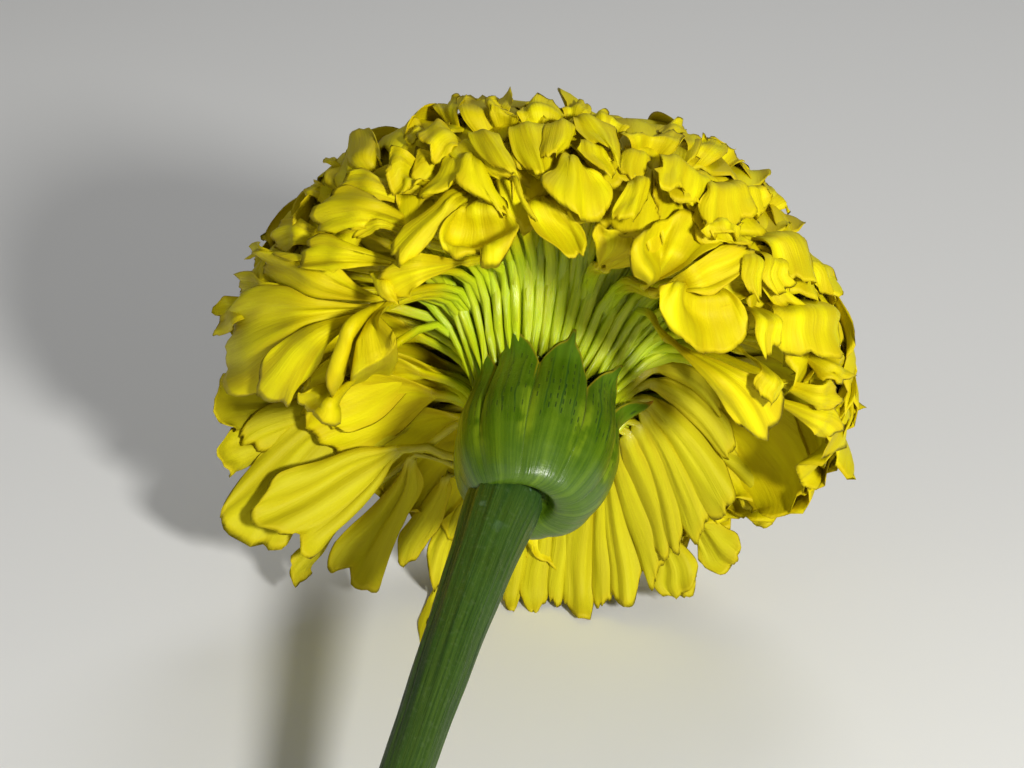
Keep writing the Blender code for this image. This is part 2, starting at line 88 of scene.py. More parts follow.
TRACED = (
    Traced("fan_a", 0.35, False, ((-141, 7.6, -1.0), (-141, 20.9, 6.6), (-131, 21.2, 6.0), (-125, 24.6, 5.5)), (
        ((-119, 29.0, 5.4), (-115, 34.6, 2.7), (-112, 39.5, -0.3), (-112, 42.1, -3.2)),
        ((-119, 29.6, 4.1), (-116, 35.5, 0.5), (-114, 40.0, -2.5), (-113, 42.6, -4.7)),
        ((-121, 30.6, 3.8), (-119, 36.5, -0.1), (-117, 40.8, -3.2), (-115, 43.0, -5.9)),
        ((-123, 30.6, 2.6), (-121, 36.0, -1.3), (-119, 39.7, -4.2), (-118, 42.4, -6.7)),
        ((-126, 30.9, 2.5), (-125, 35.9, -1.3), (-123, 39.1, -3.7), (-121, 40.3, -4.8)),
        ((-127, 30.1, 2.1), (-127, 34.3, -1.5), (-126, 38.6, -5.0), (-125, 40.9, -7.8)),
        ((-128, 28.7, 3.3), (-129, 32.8, 0.4), (-128, 36.8, -2.7), (-127, 39.6, -5.7)),
    )),
    Traced("fan_b", 0.35, False, ((-144, 7.6, -1.0), (-144, 22.2, 7.0), (-136, 22.5, 6.6), (-130, 24.5, 6.2)), (
        ((-132, 28.8, 4.8), (-132, 34.0, 1.7), (-131, 38.3, -2.2), (-130, 41.2, -5.1)),
        ((-133, 28.4, 4.2), (-134, 33.0, 0.8), (-133, 37.7, -2.9), (-134, 40.6, -5.8)),
        ((-136, 29.0, 4.6), (-137, 33.7, 1.6), (-137, 37.6, -1.9), (-135, 39.7, -4.3)),
        ((-136, 28.4, 4.1), (-138, 32.8, 0.9), (-139, 37.2, -2.5), (-139, 40.4, -5.9)),
        ((-138, 28.3, 4.8), (-140, 31.9, 2.2), (-142, 35.9, -0.6), (-144, 39.4, -4.1)),
        ((-139, 26.6, 5.5), (-141, 29.8, 3.3), (-142, 33.8, 1.2), (-141, 37.3, -2.1)),
    )),
    Traced("fan_c", 0.3, False, ((-148, 7.6, -1.0), (-148, 24.0, 7.4), (-145, 24.3, 7.3), (-144, 24.8, 7.2)), (
        ((-143, 28.3, 6.2), (-143, 31.8, 4.0), (-143, 34.9, 2.3), (-143, 36.5, 1.0)),
        ((-145, 27.6, 5.7), (-145, 30.9, 3.6), (-145, 34.2, 1.8), (-146, 36.7, -0.2)),
        ((-147, 27.5, 6.4), (-148, 31.1, 4.3), (-148, 34.0, 2.8), (-149, 36.1, 0.9)),
        ((-148, 26.6, 6.9), (-149, 29.5, 5.6), (-150, 32.0, 4.3), (-151, 33.5, 3.0)),
    )),
    Traced("fan_shade", 0.3, False, ((-153, 8.0, -0.0), (-153, 9.9, 3.0), (-152, 12.3, 5.8), (-152, 15.5, 8.1), (-153, 19.4, 9.5), (-153, 23.4, 10.0)), (
        ((-152, 30.3, 7.3), (-151, 33.6, 5.5), (-151, 36.3, 4.0), (-151, 38.0, 2.7)),
        ((-154, 30.3, 6.8), (-154, 34.6, 4.5), (-155, 37.2, 2.8), (-156, 39.6, 0.9)),
        ((-155, 30.1, 7.4), (-156, 34.1, 5.2), (-158, 37.7, 3.1), (-158, 39.9, 1.2)),
    )),
    Traced("dangling", 0.3, False, ((-157, 7.5, 0.2), (-157, 9.0, 3.3), (-157, 11.5, 6.0), (-157, 16.2, 7.8), (-157, 23.1, 8.2), (-157, 31.1, 7.2)), (
        ((-156, 40.4, 1.8), (-155, 41.0, -1.9), (-154, 39.7, -6.6), (-154, 38.0, -11.4)),
        ((-157, 40.7, 1.6), (-157, 40.0, -3.0), (-156, 38.3, -8.5), (-156, 37.0, -12.5)),
        ((-159, 40.6, 1.7), (-159, 39.3, -3.3), (-158, 38.1, -7.2), (-158, 37.3, -9.9)),
    )),
    Traced("band_left", 0.4, False, ((-115, 7.3, 0.8), (-116, 8.6, 4.5), (-116, 10.8, 7.9), (-116, 14.3, 10.6), (-115, 18.5, 12.4), (-115, 22.7, 13.3)), (
        ((-111, 31.3, 12.0), (-110, 37.3, 8.8), (-111, 43.4, 3.5), (-111, 47.4, -1.4)),
        ((-112, 30.6, 10.9), (-112, 36.8, 7.5), (-113, 42.8, 2.3), (-113, 48.1, -4.4)),
        ((-115, 30.6, 11.0), (-115, 36.9, 7.3), (-117, 42.5, 2.0), (-118, 49.2, -4.9)),
        ((-116, 29.6, 10.1), (-118, 35.5, 6.4), (-120, 41.1, 1.2), (-123, 47.0, -6.2)),
        ((-119, 28.9, 10.7), (-121, 34.4, 7.1), (-123, 40.0, 2.2), (-125, 45.9, -4.9)),
    )),
    Traced("lobe_left_low", 0.5, False, ((-119, 8.3, 0.5), (-119, 10.3, 3.8), (-118, 13.0, 7.1), (-117, 17.1, 9.8), (-116, 22.8, 11.4), (-116, 29.4, 11.9)), (
        ((-112, 39.4, 8.6), (-108, 43.2, 6.6), (-105, 45.5, 4.9), (-102, 45.4, 0.2)),
        ((-113, 39.8, 7.4), (-109, 44.0, 4.8), (-108, 46.3, 2.5), (-105, 46.0, -1.7)),
        ((-115, 40.2, 7.0), (-113, 44.1, 4.2), (-112, 46.1, 2.4), (-111, 47.4, 1.8)),
    )),
    Traced("lobe_left_mid", 0.5, False, ((-111, 8.4, 0.6), (-110, 10.4, 4.1), (-110, 13.1, 7.5), (-111, 17.0, 10.7), (-112, 22.0, 13.0), (-112, 27.8, 14.3)), (
        ((-105, 38.3, 12.1), (-99, 42.3, 9.6), (-95, 44.2, 7.8), (-89, 44.4, 4.0)),
        ((-107, 38.8, 10.8), (-103, 43.4, 7.9), (-100, 45.1, 5.3), (-97, 44.7, 1.3)),
        ((-110, 39.2, 10.4), (-107, 43.3, 7.7), (-106, 45.5, 5.7), (-102, 45.4, 2.1)),
    )),
    Traced("curve_left_mid", 0.4, False, ((-113, 7.8, 0.7), (-113, 9.5, 4.2), (-114, 11.9, 7.6), (-115, 15.4, 10.6), (-115, 19.8, 12.7), (-115, 24.4, 13.8)), (
        ((-109, 34.7, 11.8), (-105, 39.2, 9.4), (-104, 42.7, 7.1), (-104, 44.3, 5.4)),
        ((-111, 34.5, 10.6), (-108, 39.3, 7.7), (-107, 42.6, 5.3), (-108, 44.3, 3.4)),
        ((-113, 34.7, 10.5), (-112, 39.0, 7.8), (-111, 42.0, 5.7), (-111, 43.5, 4.4)),
    )),
    Traced("inner_left_a", 0.3, False, ((-127, 7.6, 0.3), (-127, 9.1, 3.5), (-127, 11.3, 6.4), (-127, 14.2, 8.8), (-127, 17.3, 10.3), (-127, 20.3, 10.8)), (
        ((-121, 26.4, 10.5), (-119, 30.1, 9.9), (-119, 33.7, 8.2)),
        ((-123, 26.6, 9.5), (-122, 30.8, 8.2), (-120, 35.0, 6.6)),
        ((-125, 26.7, 9.1), (-125, 30.6, 8.0), (-122, 33.3, 7.3)),
    )),
    Traced("scrap_tip", 0.5, False, ((-131, 7.0, 0.4), (-131, 8.2, 3.6), (-130, 10.7, 6.4), (-130, 16.1, 7.6), (-131, 24.8, 6.7), (-131, 35.1, 4.1)), (
        ((-129, 44.7, -1.7), (-129, 45.9, -3.0), (-128, 46.8, -3.8)),
        ((-131, 44.6, -2.3), (-131, 45.7, -3.8), (-132, 46.5, -4.8)),
        ((-133, 43.9, -1.5), (-134, 44.7, -2.4), (-136, 44.8, -2.6)),
    )),
    Traced("left_fan", 0.4, True, ((-61, 7.6, 1.4), (-58, 9.1, 5.4), (-53, 11.5, 8.6), (-45, 15.6, 8.4), (-40, 21.4, 3.1), (-38, 27.8, -6.1)), (
        ((-42, 35.8, -11.4), (-48, 39.0, -8.6), (-58, 41.2, -4.2), (-67, 41.8, -1.2)),
        ((-43, 35.7, -12.2), (-53, 39.1, -9.0), (-65, 41.3, -4.0), (-74, 43.0, 0.4)),
        ((-45, 35.1, -11.8), (-56, 37.8, -9.7), (-67, 40.2, -6.4), (-80, 42.8, 1.4)),
        ((-46, 34.8, -12.7), (-55, 36.5, -12.0), (-67, 38.4, -9.4), (-82, 41.5, -1.9)),
        ((-48, 34.1, -12.3), (-57, 35.2, -12.3), (-69, 36.3, -11.3), (-78, 38.3, -8.6)),
        ((-48, 33.6, -13.0), (-57, 33.8, -13.1), (-68, 34.0, -12.9), (-75, 34.7, -12.6)),
    )),
    Traced("left_fold", 0.3, True, ((-67, 8.1, 1.2), (-64, 9.9, 5.1), (-57, 12.5, 8.3), (-49, 16.4, 8.2), (-42, 21.7, 2.9), (-40, 27.8, -6.1)), (
        ((-44, 34.7, -13.5), (-52, 35.7, -13.4), (-59, 36.6, -13.2), (-65, 37.2, -12.0)),
        ((-43, 34.2, -14.8), (-51, 34.8, -15.0), (-60, 35.0, -14.8), (-68, 35.9, -14.0)),
        ((-42, 33.7, -15.5), (-51, 33.6, -16.0), (-60, 33.2, -16.2), (-69, 33.4, -15.6)),
        ((-43, 32.9, -15.3), (-51, 32.3, -15.7), (-60, 31.6, -16.2), (-68, 31.1, -16.6)),
        ((-43, 32.3, -14.9), (-50, 31.5, -15.2), (-58, 31.0, -15.2), (-64, 30.8, -15.8)),
    )),
    Traced("left_hang", 0.4, True, ((-49, 8.1, 1.2), (-48, 9.9, 5.1), (-45, 12.5, 8.3), (-40, 16.5, 8.2), (-37, 21.9, 3.0), (-35, 28.0, -6.0)), (
        ((-36, 33.2, -15.3), (-41, 32.2, -16.4), (-47, 31.5, -17.1), (-53, 30.9, -17.1)),
        ((-35, 32.8, -16.3), (-40, 31.3, -17.5), (-46, 29.7, -18.1), (-54, 28.2, -18.3)),
        ((-34, 32.1, -16.1), (-39, 30.2, -17.3), (-44, 28.3, -17.9), (-116, 33.9, 15.9)),
        ((-32, 32.3, -16.8), (-35, 30.2, -18.1), (-38, 28.3, -18.5), (-117, 31.6, 17.8)),
        ((-31, 32.1, -16.3), (-31, 30.0, -17.4), (-33, 28.2, -18.0), (-118, 29.9, 20.2)),
        ((-28, 32.9, -16.7), (-26, 31.3, -17.9), (-27, 29.3, -18.5), (-120, 28.0, 20.9)),
    )),
    Traced("left_lobe_small", 0.3, True, ((-76, 8.1, 1.2), (-74, 9.9, 5.1), (-70, 12.4, 8.2), (-64, 15.7, 7.9), (-60, 19.5, 2.2), (-58, 23.6, -7.5)), (
        ((-58, 29.3, -15.0), (-62, 30.7, -15.1), (-68, 31.2, -15.1)),
        ((-58, 28.0, -15.9), (-63, 28.5, -16.0), (-67, 28.7, -16.0)),
        ((-58, 26.7, -15.8), (-61, 26.4, -16.2), (-65, 26.4, -16.3)),
        ((-119, 35.8, 18.4), (-120, 35.7, 17.6), (-120, 36.4, 15.9)),
    )),
    Traced("left_curl", 0.3, True, ((-42, 8.1, 1.2), (-40, 9.9, 5.1), (-37, 12.6, 8.3), (-32, 16.8, 8.3), (-28, 22.7, 3.5), (-26, 29.5, -5.1)), (
        ((-27, 36.7, -12.5), (-28, 36.1, -13.7), (-28, 34.8, -15.0)),
        ((-25, 36.1, -14.1), (-25, 35.0, -15.6), (-24, 33.7, -16.9)),
        ((-23, 35.1, -13.9), (-23, 34.1, -15.0), (-22, 32.9, -16.2)),
    )),
    Traced("over_claws", 0.35, True, ((-23, 8.6, 1.0), (-22, 10.8, 4.8), (-20, 13.6, 7.9), (-17, 17.7, 8.1), (-15, 23.1, 3.3), (-13, 29.5, -5.0)), (
        ((-15, 37.5, -13.1), (-20, 38.4, -13.1), (-23, 38.1, -13.7)),
        ((-16, 36.9, -14.0), (-21, 37.4, -14.4), (-25, 37.6, -14.5)),
        ((-16, 35.7, -14.2), (-21, 35.6, -15.0), (-26, 35.0, -15.5)),
        ((-17, 34.6, -14.3), (-21, 33.7, -15.3), (-26, 32.0, -16.4)),
    )),
    Traced("left_edge_lobe", 0.4, True, ((-79, 7.6, 1.4), (-77, 9.1, 5.4), (-73, 11.7, 8.8), (-67, 16.8, 9.6), (-63, 24.5, 6.3), (-61, 33.8, -0.0)), (
        ((-69, 42.3, 1.6), (-71, 44.0, 2.2), (-73, 44.8, 1.9)),
        ((-66, 41.3, -2.4), (-74, 43.0, 1.6), (-76, 44.4, 1.4)),
        ((-65, 40.5, -5.5), (-71, 41.1, -3.2), (-80, 43.0, 1.6)),
    )),
    Traced("left_wedge", 0.4, True, ((-69, 7.6, 1.3), (-67, 9.1, 5.4), (-62, 11.6, 8.7), (-54, 16.3, 9.0), (-49, 23.2, 4.5), (-47, 31.3, -3.3)), (
        ((-53, 39.9, -5.8), (-60, 41.8, 0.1), (-64, 43.8, 2.9)),
        ((-53, 39.8, -6.3), (-60, 41.4, -2.1), (-67, 42.9, 2.3)),
        ((-55, 39.6, -6.1), (-60, 40.8, -3.7), (-67, 41.7, -0.1)),
    )),
    Traced("left_long", 0.4, True, ((-58, 8.1, 1.2), (-56, 9.9, 5.1), (-52, 12.5, 8.3), (-45, 16.5, 8.2), (-39, 21.9, 3.0), (-37, 28.1, -5.9)), (
        ((-42, 35.9, -11.3), (-50, 39.1, -8.0), (-62, 42.3, 0.3)),
        ((-40, 36.8, -11.4), (-46, 40.0, -7.8), (-56, 42.3, -1.0)),
        ((-38, 37.1, -10.5), (-43, 40.0, -7.4), (-51, 41.9, -2.4)),
        ((-35, 37.4, -10.8), (-38, 39.5, -8.7), (-42, 41.1, -6.8)),
    )),
    Traced("left_shadow", 0.35, True, ((-48, 8.6, 1.0), (-45, 10.7, 4.8), (-41, 13.6, 8.0), (-34, 17.7, 8.2), (-30, 23.5, 3.7), (-27, 30.4, -4.4)), (
        ((-30, 39.3, -9.6), (-34, 41.4, -7.8), (-39, 42.2, -6.4)),
        ((-29, 39.3, -11.0), (-35, 41.1, -9.6), (-40, 42.0, -8.3)),
        ((-31, 38.4, -11.0), (-37, 39.7, -10.2), (-43, 40.8, -9.2)),
        ((-31, 38.2, -12.3), (-34, 38.7, -12.5), (-39, 39.2, -12.2)),
    )),
    Traced("left_lobe_back", 0.4, True, ((-63, 8.6, 1.0), (-61, 10.7, 4.8), (-56, 13.6, 8.1), (-48, 18.2, 8.8), (-42, 24.9, 5.5), (-39, 33.2, -1.1)), (
        ((-41, 41.2, -2.2), (-45, 42.0, 0.9), (-51, 42.3, 4.0)),
        ((-42, 41.1, -3.9), (-46, 41.7, -1.4), (-52, 42.2, 0.9)),
        ((-43, 40.5, -4.7), (-47, 40.9, -3.6), (-53, 41.4, -1.3)),
    )),
    Traced("left_lobe_far", 0.4, True, ((-73, 8.6, 1.0), (-70, 10.7, 4.8), (-65, 13.7, 8.1), (-58, 18.4, 9.1), (-53, 25.3, 6.3), (-51, 33.9, 0.4)), (
        ((-55, 41.7, 1.0), (-59, 42.1, 5.1), (-64, 42.8, 8.9)),
        ((-55, 41.4, -0.2), (-59, 42.0, 2.1), (-64, 42.6, 3.3)),
    )),
    Traced("left_bright", 0.35, True, ((-36, 7.6, 1.4), (-35, 9.1, 5.4), (-31, 11.7, 8.7), (-26, 16.6, 9.2), (-22, 23.9, 5.3), (-21, 32.6, -1.8)), (
        ((-23, 42.3, -6.5), (-29, 43.5, -3.0), (-35, 43.6, -2.1)),
        ((-23, 42.3, -8.0), (-31, 43.2, -5.5), (-37, 43.5, -4.2)),
        ((-25, 41.5, -8.3), (-30, 42.3, -7.9), (-37, 42.6, -6.7)),
        ((-26, 41.1, -9.3), (-30, 41.5, -9.5), (-33, 41.3, -10.0)),
    )),
    Traced("left_strip", 0.3, True, ((-40, 8.6, 1.0), (-37, 10.7, 4.8), (-33, 13.7, 8.0), (-28, 18.0, 8.5), (-24, 24.3, 4.6), (-22, 31.8, -2.7)), (
        ((-23, 40.4, -8.4), (-26, 41.0, -8.2), (-29, 40.8, -8.7)),
        ((-23, 39.9, -9.4), (-26, 40.0, -9.8), (-30, 39.9, -10.2)),
    )),
    Traced("left_upper", 0.35, True, ((-34, 8.1, 1.2), (-32, 9.9, 5.1), (-29, 12.7, 8.4), (-25, 17.6, 9.2), (-22, 24.8, 5.9), (-20, 33.6, -0.5)), (
        ((-24, 42.3, -2.1), (-28, 43.3, 0.4), (-32, 43.4, -0.0)),
        ((-24, 42.3, -4.1), (-28, 43.0, -2.9), (-32, 43.2, -2.6)),
        ((-24, 41.6, -5.0), (-28, 42.1, -4.6), (-30, 42.3, -4.8)),
    )),
    Traced("left_spoon", 0.4, True, ((-45, 7.6, 1.3), (-43, 9.1, 5.4), (-39, 11.7, 8.9), (-32, 16.9, 10.2), (-28, 25.0, 7.9), (-26, 34.5, 3.1)), (
        ((-31, 41.9, -1.3), (-34, 42.3, -0.5), (-37, 42.8, 0.9)),
        ((-30, 42.5, 0.0), (-33, 43.0, 2.0), (-36, 43.0, 3.9)),
        ((-29, 42.6, 1.5), (-33, 42.5, 6.3), (-38, 40.0, 14.8)),
        ((-27, 42.9, 1.4), (-28, 42.7, 5.9), (-34, 40.2, 14.4)),
        ((-26, 42.6, 1.1), (-25, 42.8, 3.0), (-25, 42.8, 5.0)),
    )),
    Traced("left_nub", 0.3, True, ((-52, 7.6, 1.4), (-51, 9.1, 5.4), (-47, 11.8, 9.0), (-41, 17.0, 10.7), (-37, 25.2, 9.3), (-35, 35.1, 5.8)), (
        ((-39, 41.7, 8.1), (-43, 41.5, 11.0), (-43, 41.9, 11.1)),
        ((-37, 41.7, 7.5), (-38, 41.6, 8.8), (-41, 40.6, 12.7)),
    )),
    Traced("left_nub_low", 0.3, True, ((-55, 8.6, 1.0), (-53, 10.8, 4.8), (-49, 13.7, 8.2), (-43, 18.5, 9.7), (-38, 25.8, 7.9), (-36, 34.6, 3.5)), (
        ((-39, 42.1, 3.9), (-43, 41.8, 7.5), (-44, 41.6, 9.2)),
        ((-40, 41.8, 1.8), (-42, 42.0, 2.7), (-43, 42.1, 3.1)),
    )),
    Traced("top_left_cup", 0.4, True, ((-31, 8.6, 1.0), (-30, 10.8, 4.8), (-26, 13.8, 8.2), (-22, 18.5, 9.4), (-18, 25.6, 7.2), (-17, 34.3, 2.2)), (
        ((-19, 43.5, 0.4), (-22, 43.8, 1.6), (-23, 44.1, -1.2)),
        ((-20, 42.8, -1.4), (-21, 43.0, -2.5), (-22, 43.4, -4.2)),
        ((-18, 42.3, -3.8), (-19, 42.5, -5.2), (-19, 43.0, -6.3)),
        ((-16, 41.7, -4.9), (-17, 42.0, -5.7), (-17, 42.4, -6.5)),
    )),
    Traced("top_left_a", 0.4, True, ((-17, 8.6, 1.0), (-16, 10.8, 4.8), (-14, 13.8, 8.3), (-12, 18.7, 10.2), (-10, 26.0, 9.4), (-10, 35.0, 6.3)), (
        ((-15, 42.3, 7.7), (-18, 42.5, 7.6), (-20, 42.9, 4.0)),
        ((-14, 43.0, 4.4), (-16, 43.3, 3.2), (-17, 43.5, 0.3)),
        ((-12, 42.9, 2.2), (-14, 43.1, 0.5), (-15, 42.9, -1.2)),
        ((-11, 42.9, 0.5), (-13, 42.7, -1.4), (-15, 42.5, -3.2)),
    )),
    Traced("top_left_far", 0.5, True, ((-26, 8.1, 1.2), (-24, 9.9, 5.1), (-21, 12.8, 8.7), (-17, 17.8, 11.0), (-15, 25.5, 10.9), (-14, 34.8, 8.9)), (
        ((-19, 40.3, 12.9), (-22, 39.0, 17.3), (-21, 39.1, 17.7)),
        ((-16, 40.9, 11.2), (-18, 38.7, 17.0), (-17, 38.8, 17.6)),
        ((-13, 41.5, 9.1), (-13, 39.9, 13.9), (-14, 39.0, 15.9)),
    )),
    Traced("top_left_low", 0.5, True, ((-28, 7.6, 1.4), (-27, 9.1, 5.4), (-25, 11.8, 9.0), (-21, 17.1, 10.7), (-18, 25.3, 9.6), (-17, 35.0, 6.2)), (
        ((-21, 41.4, 9.8), (-22, 41.5, 9.3), (-23, 41.7, 6.6)),
        ((-19, 41.7, 6.1), (-20, 41.9, 4.2), (-21, 42.0, 3.1)),
    )),
    Traced("cup", 0.1, True, ((-12, 8.1, 1.2), (-11, 9.9, 5.1), (-10, 12.8, 8.5), (-9, 17.7, 9.4), (-8, 25.1, 6.6), (-8, 34.0, 0.8)), (
        ((-9, 40.6, -8.4), (-11, 40.6, -10.0), (-12, 40.3, -11.5), (-13, 39.3, -12.9), (-12, 38.0, -14.1)),
        ((-9, 40.3, -8.1), (-11, 38.7, -8.9), (-12, 37.6, -10.2), (-11, 39.1, -13.3), (-11, 36.8, -14.1)),
        ((-8, 40.1, -7.8), (-9, 37.6, -8.5), (-10, 36.3, -10.3), (-9, 38.5, -13.8), (-10, 35.9, -14.3)),
        ((-7, 40.1, -7.9), (-7, 37.1, -8.4), (-7, 35.8, -10.6), (-5, 37.8, -13.9), (-6, 36.1, -14.0)),
        ((-5, 40.1, -7.9), (-5, 37.1, -8.4), (-4, 36.0, -10.5), (-3, 38.2, -13.9), (-4, 35.4, -14.7)),
        ((-4, 40.1, -7.9), (-2, 38.1, -8.4), (-1, 37.4, -9.8), (0, 39.3, -13.1), (-1, 36.3, -14.5)),
        ((-2, 40.4, -8.3), (-0, 39.8, -9.0), (1, 39.3, -9.9), (2, 40.1, -11.9), (2, 38.6, -13.4)),
    )),
    Traced("centre_blade", 0.3, True, ((-18, 8.1, 1.2), (-17, 9.9, 5.1), (-15, 12.8, 8.7), (-13, 17.9, 10.6), (-11, 25.6, 9.9), (-10, 35.0, 7.0)), (
        ((-12, 42.4, 0.3), (-14, 42.3, -2.5), (-16, 42.2, -5.1), (-18, 41.5, -7.5), (-17, 40.4, -9.1)),
        ((-11, 42.5, -0.8), (-12, 42.2, -4.3), (-14, 42.0, -6.9), (-16, 41.2, -8.5)),
        ((-9, 42.8, -1.7), (-10, 42.4, -5.1), (-11, 42.0, -6.9), (-12, 41.5, -7.7)),
        ((-8, 43.0, -2.2), (-8, 42.6, -4.8), (-9, 42.2, -6.2), (-9, 41.7, -7.0)),
        ((-7, 43.2, -2.5), (-6, 42.7, -6.2), (-4, 41.7, -8.4), (-3, 40.6, -9.4)),
        ((-6, 43.0, -2.3), (-4, 42.5, -6.4), (-2, 41.2, -9.0), (-0, 39.7, -11.1)),
        ((-6, 42.5, -2.0), (-3, 42.2, -5.6), (-0, 41.3, -8.2), (1, 39.7, -10.3)),
    )),
    Traced("under_blade", 0.3, True, ((-21, 7.6, 1.3), (-20, 9.1, 5.4), (-17, 11.8, 8.9), (-14, 16.9, 10.0), (-11, 24.9, 7.4), (-10, 34.3, 2.0)), (
        ((-11, 41.2, -5.5), (-14, 41.0, -7.8), (-19, 40.4, -10.1), (-22, 39.3, -11.9), (-24, 38.5, -12.8)),
        ((-10, 41.1, -6.6), (-13, 40.6, -9.1), (-17, 40.0, -11.5), (-21, 39.0, -13.4), (-23, 38.2, -14.2)),
        ((-10, 41.1, -7.4), (-12, 40.4, -9.8), (-15, 39.8, -12.0), (-18, 38.8, -14.0), (-20, 37.5, -14.9)),
        ((-9, 40.6, -7.7), (-11, 40.0, -9.8), (-13, 39.4, -11.8), (-15, 38.6, -13.6), (-17, 37.6, -14.4)),
        ((-9, 40.0, -7.5), (-11, 39.6, -8.9), (-13, 39.2, -10.5), (-14, 38.6, -11.9), (-14, 37.9, -13.0)),
    )),
    Traced("bright_oval", 0.12, True, ((-14, 7.6, 1.4), (-13, 9.1, 5.4), (-11, 11.8, 9.1), (-10, 17.1, 11.2), (-9, 25.2, 10.9), (-9, 34.8, 8.7)), (
        ((-9, 43.6, 2.2), (-8, 44.4, -0.7), (-6, 44.2, -3.5), (-4, 43.9, -5.5)),
        ((-7, 44.1, 1.8), (-5, 45.0, -2.5), (-3, 44.7, -5.4), (-1, 44.0, -7.2)),
        ((-6, 44.4, 1.3), (-3, 45.3, -3.0), (-1, 44.9, -5.6), (1, 44.0, -7.8)),
        ((-4, 44.3, 0.9), (-2, 44.9, -2.5), (0, 44.7, -4.5), (1, 44.2, -5.6)),
    )),
    Traced("oval_stem", 0.2, True, ((-3, 8.1, 1.2), (-3, 9.9, 5.1), (-4, 12.8, 8.5), (-4, 17.8, 9.7), (-4, 25.3, 7.3), (-4, 34.3, 2.2)), (
        ((-1, 41.9, -4.7), (1, 40.6, -7.3), (4, 38.7, -9.6)),
        ((-0, 42.1, -4.6), (2, 40.9, -7.5), (5, 39.3, -9.4)),
    )),
    Traced("centre_top", 0.25, True, ((-2, 8.6, 1.0), (-1, 10.8, 4.8), (-1, 13.8, 8.4), (-1, 18.6, 11.1), (-1, 25.8, 11.8), (-1, 34.5, 10.9)), (
        ((-3, 42.6, 4.7), (-2, 42.9, 0.3), (0, 42.4, -2.6), (2, 41.9, -4.5)),
        ((-1, 42.9, 4.8), (1, 43.2, 0.0), (3, 42.7, -3.1), (4, 41.9, -5.6)),
        ((1, 42.9, 5.0), (3, 43.2, 0.2), (4, 42.6, -2.8), (5, 41.9, -5.2)),
        ((3, 42.6, 5.6), (5, 43.0, 1.9), (6, 42.6, -0.5), (7, 42.0, -2.3)),
    )),
    Traced("centre_top_b", 0.25, True, ((6, 8.6, 1.0), (6, 10.8, 4.8), (6, 13.8, 8.5), (5, 18.5, 11.3), (5, 25.5, 12.4), (5, 34.1, 12.0)), (
        ((3, 43.0, 5.1), (3, 43.8, 0.6), (3, 43.5, -2.5), (4, 43.1, -4.6)),
        ((5, 43.2, 5.5), (5, 44.1, 0.4), (5, 43.8, -2.3), (5, 43.4, -3.7)),
        ((6, 43.1, 5.9), (7, 43.9, 1.5), (6, 43.9, -0.9), (6, 43.6, -2.2)),
        ((8, 42.8, 5.6), (8, 43.3, 2.5), (8, 43.5, 0.4), (7, 43.4, -0.8)),
    )),
    Traced("right_wing", 0.25, True, ((14, 8.6, 1.0), (13, 10.8, 4.8), (12, 13.7, 8.6), (10, 18.3, 11.8), (9, 24.9, 13.9), (8, 32.9, 14.9)), (
        ((7, 42.8, 7.2), (8, 43.6, 3.8), (10, 44.0, 1.5), (11, 44.2, 0.5)),
        ((8, 43.1, 7.4), (11, 43.9, 3.5), (13, 44.4, 0.9), (14, 44.5, -1.0)),
        ((10, 43.1, 7.5), (13, 43.9, 3.7), (14, 44.4, 0.7), (16, 44.2, -2.6)),
        ((13, 42.8, 7.3), (15, 43.6, 4.5), (16, 44.0, 2.3), (17, 44.2, -0.1)),
    )),
    Traced("wing_small", 0.25, True, ((16, 7.6, 1.4), (15, 9.1, 5.4), (14, 11.8, 9.1), (11, 17.1, 11.3), (10, 25.1, 11.0), (9, 34.8, 8.9)), (
        ((9, 43.1, 2.4), (9, 43.3, -0.0), (10, 43.2, -1.4), (11, 43.1, -2.6)),
        ((10, 43.3, 2.2), (11, 43.5, -0.6), (13, 43.4, -2.1), (14, 43.2, -3.6)),
        ((12, 43.3, 2.0), (13, 43.6, -0.3), (15, 43.5, -1.7), (16, 43.3, -3.2)),
        ((13, 43.1, 1.9), (15, 43.2, -0.0), (16, 43.2, -1.1), (17, 43.1, -1.8)),
    )),
    Traced("centre_wings", 0.22, True, ((11, 8.1, 1.2), (11, 9.9, 5.1), (10, 12.8, 8.7), (9, 17.9, 10.7), (8, 25.6, 10.2), (8, 34.9, 7.6)), (
        ((7, 43.6, -0.6), (6, 43.8, -3.9), (4, 43.8, -6.3), (4, 43.4, -8.6), (5, 42.7, -9.7)),
        ((8, 43.6, -1.5), (7, 43.7, -5.0), (6, 43.7, -8.3), (7, 42.6, -10.6)),
        ((8, 43.6, -1.9), (9, 43.7, -5.8), (9, 43.2, -9.3), (11, 41.7, -11.4)),
        ((9, 43.4, -1.4), (10, 43.1, -5.2), (11, 42.5, -8.5), (12, 41.2, -10.3)),
        ((10, 42.8, -1.6), (12, 42.6, -4.5), (13, 42.0, -7.6), (15, 40.8, -9.6)),
        ((10, 42.7, -1.8), (13, 42.7, -3.9), (15, 42.6, -6.3), (16, 42.0, -8.6)),
        ((11, 42.9, -2.1), (14, 43.4, -3.5), (16, 43.7, -4.2), (19, 44.0, -4.5)),
    )),
    Traced("right_small", 0.25, True, ((23, 7.6, 1.4), (23, 9.1, 5.4), (21, 11.8, 9.0), (20, 17.1, 10.7), (18, 25.3, 9.4), (18, 35.0, 5.9)), (
        ((18, 42.3, -2.1), (17, 42.1, -5.5), (16, 41.4, -7.6), (16, 40.5, -9.0)),
        ((19, 42.7, -1.9), (19, 42.3, -5.5), (18, 41.7, -7.7), (18, 40.6, -9.4)),
        ((20, 42.9, -1.3), (20, 42.6, -4.4), (20, 42.0, -6.9), (20, 41.1, -8.2)),
